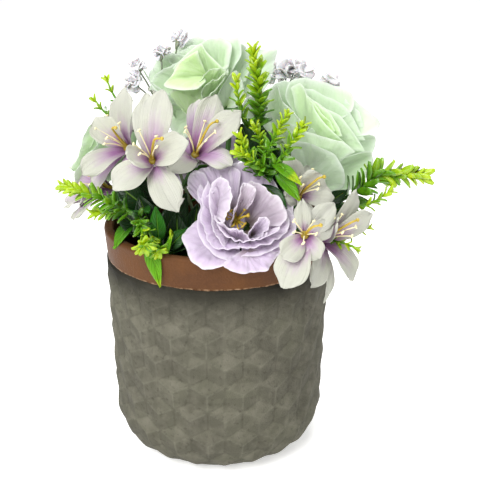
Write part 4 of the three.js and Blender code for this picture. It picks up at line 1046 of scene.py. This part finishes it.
def make_roses():
    """The mint roses. Those in front have drawn petals before a back of two rings."""
    first_back_ring = 4
    look = dict(outline="round", wrap=0.12, crown=0.12, tilt=2.4, ruffle=0.8, waves=1.6, fold=2.0)
    for rose in ROSES:
        bm = new_shape()
        seat = standing(rose["at"], rose["facing"])
        rng = Random(rose["name"])
        seen = bool(rose["petals"])
        for index, ring in enumerate(ROSE_RINGS):
            turn = rose["turn"] + index * 0.5 * tau / ring["count"]
            if not seen or index >= first_back_ring:
                lay_ring(bm, ring, seat, turn, rose["size"], look, rng, 18, 12, seen)
        lay_drawn(bm, rose, depth=2.0, folds=2.0, columns=26)
        thicken(bm, bm.faces[:], SILK)
        lay_turned(bm, seat, rose["size"], (0, 0.4, 6, 12, 17), (3, 6.2, 5.6, 4.6, 2.2), 16, 0.2)
        add_piece(rose["name"] + "_bloom", bm, "rose_silk", [rose["name"] + "_petals"], levels=1)


def make_lisianthus():
    """The lilac lisianthus, the front one all of drawn petals, and their tufts."""
    look = dict(outline="round", wrap=0.1, crown=0.1, tilt=1.6, ruffle=1.7, waves=3.0, fold=0.6)
    for bloom in LISIANTHUS:
        bm = new_shape()
        seat = standing(bloom["at"], bloom["facing"])
        rng = Random(bloom["name"])
        if not bloom["petals"]:
            for index, ring in enumerate(LISIANTHUS_RINGS):
                turn = bloom["turn"] + index * 0.5 * tau / ring["count"]
                lay_ring(bm, ring, seat, turn, bloom["size"], look, rng, 20, 12)
        lay_drawn(bm, bloom, depth=2.4, folds=5.0, columns=40)
        thicken(bm, bm.faces[:], SILK)
        lay_turned(bm, seat, bloom["size"], (0, 0.4, 3, 5), (3, 5.8, 6, 4.6), 16, 0.2)
        add_piece(bloom["name"] + "_bloom", bm, "lisianthus_silk", [bloom["name"] + "_petals"], levels=1)
        bm = new_shape()
        lay_tuft(bm, seat, Random(bloom["name"] + "_tuft"), height=5.2 * bloom["size"], count=11, length=8.5,
                 lean=38, tone=0.35)
        add_piece(bloom["name"] + "_tuft", bm, "stamen", [bloom["name"] + "_stamens"])


def lay_tuft(bm, seat, rng, height, count, length, lean, tone):
    """A pistil with a curled tip, and thinner filaments round it that end in anthers, on a small foot."""
    foot = [seat @ Vector((0, 0, height + h)) for h in (0, 0.5, 1.6, 2.2)]
    lay_rod(bm, foot, [2.2, 2.4, 1.9, 1.0], 10, 0.25)
    steps = 11
    for i in range(count):
        pistil = i == 0
        turn = i * GOLDEN_TURN + rng.uniform(-0.2, 0.2)
        angle = 0.1 if pistil else radians(lean) * rng.uniform(0.35, 0.6)
        reach = length * (1.1 if pistil else rng.uniform(0.72, 1.0))
        line = []
        out, up = 0.7, height + 1
        for k in range(steps + 1):
            line.append(seat @ Vector((out * cos(turn), out * sin(turn), up)))
            out += sin(angle) * reach / steps
            up += cos(angle) * reach / steps
            if pistil:
                angle += 0.5 if k > 7 else radians(lean) / steps
            else:
                angle += radians(lean) * 1.1 / steps
        width = 0.8 if pistil else 0.42
        radii = [width * (1 - 0.03 * k) for k in range(steps + 1)]
        onwards = (line[-1] - line[-2]).normalized()
        if pistil:
            lay_rod(bm, line, radii, 7, 0.42)
            knob = [line[-1] + onwards * s for s in (-0.3, 0.3, 1.0, 1.5)]
            lay_rod(bm, knob, [0.7, 1.1, 1.0, 0.4], 8, 0.5)
        else:
            lay_rod(bm, line, radii, 7, lambda v: 0.15 + min(1, 2.2 * v) * (tone - 0.15))
            across = onwards.orthogonal().normalized() * rng.choice((-1, 1))
            anther = [line[-1] + across * s for s in (-1.2, -0.9, 0, 0.9, 1.2)]
            lay_rod(bm, anther, [0.2, 0.5, 0.6, 0.5, 0.2], 7, tone)


def make_lilies():
    """The lilies: six petals drawn one by one, and stamens that turn up towards the light."""
    fullness = 1.12
    for lily in [lily for spray in LILY_SPRAYS for lily in spray["lilies"]]:
        bm = new_shape()
        rng = Random(lily["name"])
        at, away, size = Vector(lily["at"]), Vector(lily["facing"]).normalized(), lily["size"]
        for i, (tip, width, flush) in enumerate(lily["petals"]):
            out = Vector(tip) - at
            out = (out - away * out.dot(away)).normalized()
            foot = at + out * 1.3 * size + away * (4.5 if i % 2 else 2.5) * size
            spine = drawn_spine(foot, tip, away, rng.uniform(0.12, 0.26), rng.uniform(0.12, 0.3),
                                rng.uniform(-0.35, 0.35))
            sheet = petal_sheet(spine, width * fullness, 0.04, "lily", wrap=0.16, crown=0.12, ruffle=0.8,
                                waves=2.0, fold=1.0, rib=0.5, seed=rng.uniform(0, 50))
            sheet = creased(sheet, depth=1.1, folds=2.0, seed=rng.uniform(0, 50), hem=0.1)
            lay_blade(bm, sheet, 12, 20, rng.random(), flush)
        thicken(bm, bm.faces[:], SILK)
        core = [at + away * h * size for h in (0, 0.4, 3, 5.5)]
        lay_rod(bm, core, [s * size for s in (2, 3.4, 3.6, 2.6)], 14, 0.2)
        add_piece(lily["name"] + "_bloom", bm, "lily_silk", [lily["name"] + "_petals"], levels=1)
        bm = new_shape()
        seat = standing(at + away * 4 * size, away + UP * 0.55)
        lay_tuft(bm, seat, Random(lily["name"] + "_tuft"), height=0.5, count=6, length=24 * size, lean=24,
                 tone=0.95)
        add_piece(lily["name"] + "_tuft", bm, "stamen", [lily["name"] + "_stamens"])


# ---------------------------------------------------------------- greenery

# Each branch runs from the sprig's fork along its route. A rosette is the number of leaflets round its end.
SPRIGS = [
    dict(name="sprig_tall", hole=(12, -4), fork=(21, -16, 186), branches=[
        dict(route=[(23, -20, 210), (20, -20, 236)], whorls=19, length=9),
        dict(route=[(13, -25, 206), (10, -26, 223)], whorls=8, length=7),
    ]),
    dict(name="sprig_centre", hole=(14, -18), fork=(22, -34, 170), branches=[
        dict(route=[(27, -42, 190), (35, -46, 208)], whorls=10, length=7.5),
        dict(route=[(33, -46, 186), (43, -54, 205)], whorls=10, length=7.5),
        dict(route=[(17, -42, 184), (12, -44, 197)], whorls=7, length=7),
        dict(route=[(24, -43, 180), (11, -47, 190)], whorls=8, length=7.5),
        dict(route=[(25, -33, 184), (20, -36, 200)], whorls=8, length=7),
    ]),
    dict(name="sprig_right", hole=(38, -12), fork=(64, -22, 152), branches=[
        dict(route=[(79, -22, 162), (89, -16, 168), (114, -12, 166)], whorls=20, length=11),
        dict(route=[(74, -26, 154), (81, -28, 154), (94, -26, 161)], whorls=8, length=6.5),
        dict(route=[(70, -34, 142), (74, -36, 142), (82, -38, 145)], whorls=5, length=6),
        dict(route=[(60, -44, 142), (67, -52, 141), (73, -54, 139)], whorls=7, length=5.5),
    ]),
    dict(name="sprig_far_left", hole=(-12, 6), fork=(-42, 12, 184), branches=[
        dict(route=[(-57, 12, 206), (-62, 14, 217)], whorls=5, length=5.5),
        dict(route=[(-61, 8, 197), (-69, 8, 207)], whorls=5, length=5.5),
    ]),
    dict(name="sprig_low_left", hole=(-34, -24), fork=(-42, -42, 154), branches=[
        dict(route=[(-58, -44, 163), (-80, -38, 169)], whorls=15, length=8.5),
        dict(route=[(-52, -42, 156), (-65, -40, 155)], whorls=7, length=7),
        dict(route=[(-40, -54, 153), (-37, -66, 147)], whorls=7, length=6.5, rosette=16),
        dict(route=[(-36, -50, 148), (-31, -60, 142)], whorls=5, length=6, rosette=12),
    ]),
    dict(name="sprig_back", hole=(8, 36), fork=(18, 54, 146), branches=[
        dict(route=[(22, 66, 166), (24, 74, 186)], whorls=8, length=8),
        dict(route=[(34, 68, 142), (48, 78, 144)], whorls=7, length=8),
    ]),
    dict(name="sprig_back_left", hole=(-42, 12), fork=(-54, 22, 146), branches=[
        dict(route=[(-68, 26, 147), (-82, 32, 147)], whorls=7, length=7),
        dict(route=[(-64, 40, 142), (-74, 52, 144)], whorls=7, length=7),
    ]),
]


def leaflet_sheet(length, width):
    """A small plump leaflet, blunt at the tip and cupped along its middle."""
    def surface(u, v):
        half = width / 2 * max(0.2, sin(pi * min(0.9, 0.08 + 0.84 * v)) ** 0.7)
        return Vector((length * v, u * half, 0.9 * sin(1.9 * v) + 0.5 * u * u - 0.08 * length * v * v))

    return surface


def lay_whorls(bm, line, count, length, start, rng, tones):
    """Whorls of leaflets along a twig, which are closer, shorter and paler towards its tip."""
    blades = []
    for i in range(count):
        share = min(1.0, start + (1 - start) * ((i + 0.5) / count) ** 0.85)
        at, along = point_on(line, share)
        side = along.orthogonal().normalized()
        size = length * (1.12 - 0.35 * share) * rng.uniform(0.88, 1.12)
        lean = radians(56 - 26 * share ** 3)
        for k in range(3):
            spin = Matrix.Rotation(tau * k / 3 + i * 1.05 + rng.uniform(-0.3, 0.3), 3, along)
            out = spin @ side
            pointing = out * sin(lean) + along * cos(lean)
            rolled = Matrix.Rotation(rng.uniform(-0.7, 0.7), 4, "X")
            seat = lying(at + out * 0.4, pointing, along - out * 0.3) @ rolled
            sheet = leaflet_sheet(size, size * rng.uniform(0.38, 0.46))
            tone = tones[0] + (tones[1] - tones[0]) * share + rng.uniform(-0.14, 0.14)
            blades += lay_blade(bm, lambda u, v: seat @ sheet(u, v), 2, 4, min(1, max(0, tone)))
    thicken(bm, blades, LEAF_PLASTIC)


def lay_rosette(bm, line, count, length, rng):
    """Two rounds of leaflets that spread about the end of a twig, the first round flatter."""
    at, along = point_on(line, 1.0)
    side = along.orthogonal().normalized()
    blades = []
    for k in range(count):
        out = Matrix.Rotation(tau * k / count * 2 + rng.uniform(-0.2, 0.2), 3, along) @ side
        lean = radians(86 if k < count / 2 else 58)
        seat = lying(at, out * sin(lean) + along * cos(lean), along - out * 0.3)
        size = length * rng.uniform(0.85, 1.15)
        sheet = leaflet_sheet(size, size * 0.45)
        blades += lay_blade(bm, lambda u, v: seat @ sheet(u, v), 2, 4, rng.uniform(0.4, 0.85))
    thicken(bm, blades, LEAF_PLASTIC)


def make_sprigs():
    """The lime sprigs: leaflets all along the branches and on the upper half of the stem."""
    for sprig in SPRIGS:
        bm = new_shape()
        rng = Random(sprig["name"])
        fork = Vector(sprig["fork"])
        branches = [(through([fork, *branch["route"]], 10), branch) for branch in sprig["branches"]]
        for line, branch in branches:
            lay_whorls(bm, line, branch["whorls"], branch["length"], 0.1, rng, (0.1, 0.95))
            if "rosette" in branch:
                lay_rosette(bm, line, branch["rosette"], branch["length"], rng)
        line = stem_line(sprig["hole"], [fork], 8)
        lay_whorls(bm, line, 7, 8, 0.5, rng, (0.0, 0.25))
        lay_rod(bm, line, [THIN_STEM_RADIUS] * len(line), 8, 0.1)
        for line, branch in branches:
            last = len(line) - 1
            lay_rod(bm, line, [0.85 - 0.4 * k / last for k in range(last + 1)], 7, lambda v: 0.1 + 0.6 * v)
        add_piece(sprig["name"] + "_fronds", bm, "sprig", [sprig["name"]])


# Leaves grow at a share of their stem. The near ones are each given by foot, tip, the way they face, how far
# they arch that way, width and tone.
# A tone below zero is the leaf finish's darkest green: the near leaves low in the pot's mouth have it, a
# painted shade under the flowers.
LEAFY_STEMS = [
    dict(name="leaves_low_left", hole=(-24, -38), route=[(-29, -44, 132), (-31, -50, 144)], leaves=[
        dict(share=0.5, pointing=(0.9, -0.1, 0.5), length=24, width=10, tone=0.05),
        dict(share=0.7, pointing=(-0.22, 0.78, 0.4), length=24, width=10, tone=0.05),
    ], near=[
        ((-34, -44, 141), (-30, -61, 121), (-0.3, -0.6, 0.74), 0.5, 9, 0.66),
        ((-31, -46, 140), (-32, -48, 161), (0, -1, 0.1), 0.1, 9, 0.22),
        ((-27, -48, 136), (-16, -44, 147), (0, -0.8, 0.6), 0.2, 9, 0.12),
        ((-27, -52, 134), (-23, -50, 147), (-0.7, -0.7, 0.1), 0.1, 3.5, 0.7),
        ((-22, -40, 127), (-22, -36, 154), (0.1, -0.9, 0.3), 0.1, 16, -0.2),
        ((-15, -42, 125), (-11, -30, 156), (0, -0.9, 0.3), 0.1, 18, -0.2),
        ((-28, -34, 135), (-17, -26, 161), (-0.2, -0.9, 0.3), 0.1, 16, -0.2),
        ((-8, -38, 124), (-17, -42, 147), (0.2, -0.9, 0.3), 0.1, 12, -0.05),
        ((-7, -30, 126), (-6, -24, 150), (0, -0.9, 0.3), 0.1, 17, -0.2),
    ]),
    dict(name="leaves_left", hole=(-38, -8), route=[(-45, -18, 134), (-49, -24, 146)], leaves=[
        dict(share=0.8, pointing=(-0.6, 0.5, 0.6), length=20, width=12),
        dict(share=0.98, pointing=(0.48, -0.7, 0.5), length=26, width=14),
        dict(share=0.6, pointing=(0.9, -0.3, 0.4), length=24, width=12),
    ], near=[
        ((-43, -26, 144), (-56, -38, 134), (-0.4, -0.4, 0.8), 0.3, 10, 0.5),
        ((-37, -30, 138), (-55, -28, 154), (-0.3, -0.8, 0.4), 0.1, 13, -0.1),
        ((-33, -30, 137), (-43, -22, 159), (-0.2, -0.9, 0.4), 0.1, 14, -0.2),
        ((-38, -18, 150), (-57, -14, 164), (-0.2, -0.9, 0.4), 0.1, 14, -0.2),
        ((-32, -14, 150), (-44, -6, 174), (-0.2, -0.9, 0.4), 0.1, 15, -0.2),
        ((-43, -24, 138), (-37, -20, 150), (-0.2, -0.9, 0.4), 0.1, 10, 0.1),
    ]),
    dict(name="leaves_centre", hole=(4, -12), route=[(12, -22, 148), (20, -30, 163)], leaves=[
        dict(share=0.7, pointing=(-0.7, -0.5, 0.4), length=24, width=10),
        dict(share=0.55, pointing=(-0.11, 0.85, 0.3), length=24, width=10),
        dict(share=0.4, pointing=(-0.9, 0.2, 0.3), length=24, width=10),
    ], near=[
        ((28, -42, 182), (43, -52, 173), (0.2, -0.7, 0.7), 0.2, 7, 0.75),
        ((30, -42, 177), (42, -54, 165), (0.3, -0.8, 0.5), 0.15, 8, 0.65),
        ((24, -40, 170), (36, -50, 160), (0.2, -0.9, 0.4), 0.1, 8, 0.1),
        ((24, -32, 166), (38, -36, 146), (0.2, -0.9, 0.3), 0.1, 15, -0.2),
        ((28, -22, 168), (24, -18, 197), (0, -0.9, 0.3), 0.1, 14, -0.2),
        ((20, -26, 176), (13, -25, 199), (0, -0.9, 0.3), 0.1, 15, -0.1),
        ((28, -27, 158), (38, -26, 169), (0, -0.9, 0.3), 0.1, 10, -0.1),
        ((32, -26, 166), (37, -18, 184), (-0.2, -0.9, 0.3), 0.1, 14, -0.2),
    ]),
    dict(name="leaves_right", hole=(44, 8), route=[(52, 6, 134), (60, 2, 146)], leaves=[
        dict(share=0.95, pointing=(0.5, -0.8, 0.3), length=24, width=10),
        dict(share=0.8, pointing=(0.95, 0.2, 0.15), length=26, width=10),
        dict(share=0.9, pointing=(0.6, 0.75, 0.3), length=24, width=10),
        dict(share=0.6, pointing=(-0.3, 0.8, 0.4), length=24, width=10),
    ], near=[
        ((57, -26, 152), (71, -22, 161), (-0.1, -0.9, 0.4), 0.1, 9, -0.1),
        ((56, -30, 148), (70, -28, 154), (-0.1, -0.9, 0.4), 0.1, 9, -0.1),
    ]),
    dict(name="leaves_back", hole=(22, 42), route=[(26, 46, 133), (29, 52, 147)], leaves=[
        dict(share=0.85, pointing=(0.5, 0.8, 0.35), length=26, width=11),
        dict(share=0.75, pointing=(-0.86, -0.34, 0.4), length=24, width=10),
        dict(share=1, pointing=(0.9, -0.12, 0.4), length=24, width=10),
        dict(share=0.5, pointing=(-0.8, -0.3, 0.5), length=24, width=10),
    ]),
    dict(name="leaves_back_left", hole=(-16, 42), route=[(-22, 46, 133), (-27, 51, 145)], leaves=[
        dict(share=0.85, pointing=(-0.9, 0.2, 0.35), length=26, width=11),
        dict(share=1, pointing=(-0.9, -0.2, 0.4), length=24, width=10),
        dict(share=0.5, pointing=(0.8, -0.2, 0.5), length=24, width=10),
    ]),
]


def leaf_sheet(spine, width, rng):
    return petal_sheet(spine, width, 0.08, "leaf", wrap=0.08, crown=0, ruffle=0.5, waves=2.5, rib=0.6,
                       seed=rng.uniform(0, 9))


def make_leaves():
    """The broad leaves: those along each stem, and the near ones on twigs of their own."""
    for plant in LEAFY_STEMS:
        bm = new_shape()
        rng = Random(plant["name"])
        line = stem_line(plant["hole"], plant["route"], 8)
        bare = line[1:]
        blades = []
        for leaf in plant["leaves"]:
            at = point_on(bare, leaf["share"])[0]
            seat = lying(at, leaf["pointing"], UP)
            spine = grown_spine(0, 0, 0, radians(16), radians(-44), 0, leaf["length"])
            sheet = leaf_sheet(spine, leaf["width"], rng)
            tone = leaf.get("tone", rng.uniform(0.1, 0.35))
            blades += lay_blade(bm, lambda u, v: seat @ sheet(u, v), 8, 14, tone)
        for foot, tip, facing, arch, width, tone in plant.get("near", []):
            sheet = leaf_sheet(drawn_spine(foot, tip, facing, arch, 0.12), width, rng)
            blades += lay_blade(bm, sheet, 8, 14, tone)
            lay_rod(bm, [point_on(bare, 0.75)[0], Vector(foot)], [LEAF_TWIG_RADIUS] * 2, 7, 0.2)
        thicken(bm, blades, LEAF_PLASTIC)
        lay_rod(bm, line, [THIN_STEM_RADIUS] * len(line), 8, 0.2)
        add_piece(plant["name"] + "_foliage", bm, "leaf", [plant["name"]])


BABYS_BREATH = [
    dict(name="babys_breath_left", hole=(-8, 22), fork=(-34, 26, 196), size=1.2,
         buds=[(-45, 20, 222), (-31, 22, 230), (-21, 30, 237), (-47, 18, 213)]),
    dict(name="babys_breath_right", hole=(14, 16), fork=(40, 32, 206), size=1.5,
         buds=[(64, 18, 213), (46, 36, 219), (39, 32, 218), (51, 32, 216), (36, 40, 213)]),
]


def lay_floret(bm, centre, size, rng):
    """A crumpled floret: small petals all round a point."""
    blades = []
    count = 10
    for i in range(count):
        level = 1 - 2 * (i + 0.5) / count
        spread = sqrt(1 - level * level)
        out = Vector((spread * cos(i * GOLDEN_TURN), spread * sin(i * GOLDEN_TURN), level))
        seat = standing(centre, out + Vector((0.01, 0.02, 0.03)))
        spine = grown_spine(rng.uniform(0, tau), 0.2, 0.8, radians(62), radians(-50), 0,
                            size * rng.uniform(2.8, 4))
        sheet = petal_sheet(spine, 7.2 * size, 0.16, "round", wrap=0.25, crown=0.2, ruffle=0.5, waves=2.4,
                            seed=rng.uniform(0, 9))
        blades += lay_blade(bm, lambda u, v: seat @ sheet(u, v), 4, 4, rng.uniform(0.72, 1.0))
    thicken(bm, blades, FLORET_CRUMB)


def make_babys_breath():
    """The sprays of baby's breath: thin twigs from a fork, each with a cup and a floret at its end."""
    for spray in BABYS_BREATH:
        bm = new_shape()
        rng = Random(spray["name"])
        fork = Vector(spray["fork"])
        for bud in spray["buds"]:
            lay_floret(bm, Vector(bud), spray["size"], rng)
        line = stem_line(spray["hole"], [fork], 8)
        lay_rod(bm, line, [THIN_STEM_RADIUS] * len(line), 8, 0.05)
        for bud in spray["buds"]:
            twig = Vector(bud) - fork
            sway = twig.orthogonal().normalized() * 1.5
            line = through([fork, fork + twig * 0.5 + sway, Vector(bud)], 5)
            lay_rod(bm, line, [FLORET_TWIG_RADIUS] * len(line), 6, 0.2)
            cup = [fork + twig * s for s in (0.84, 0.9, 0.97)]
            lay_rod(bm, cup, [0.5, 1.3, 1.6], 8, 0.15)
        add_piece(spray["name"] + "_florets", bm, "babys_breath", [spray["name"]])


# ---------------------------------------------------------------- assembly

make_camera()
make_studio()
make_pot()
make_collar_paint()
make_foam()
make_stalks()
make_lily_stems()
make_roses()
make_lisianthus()
make_lilies()
make_sprigs()
make_leaves()
make_babys_breath()
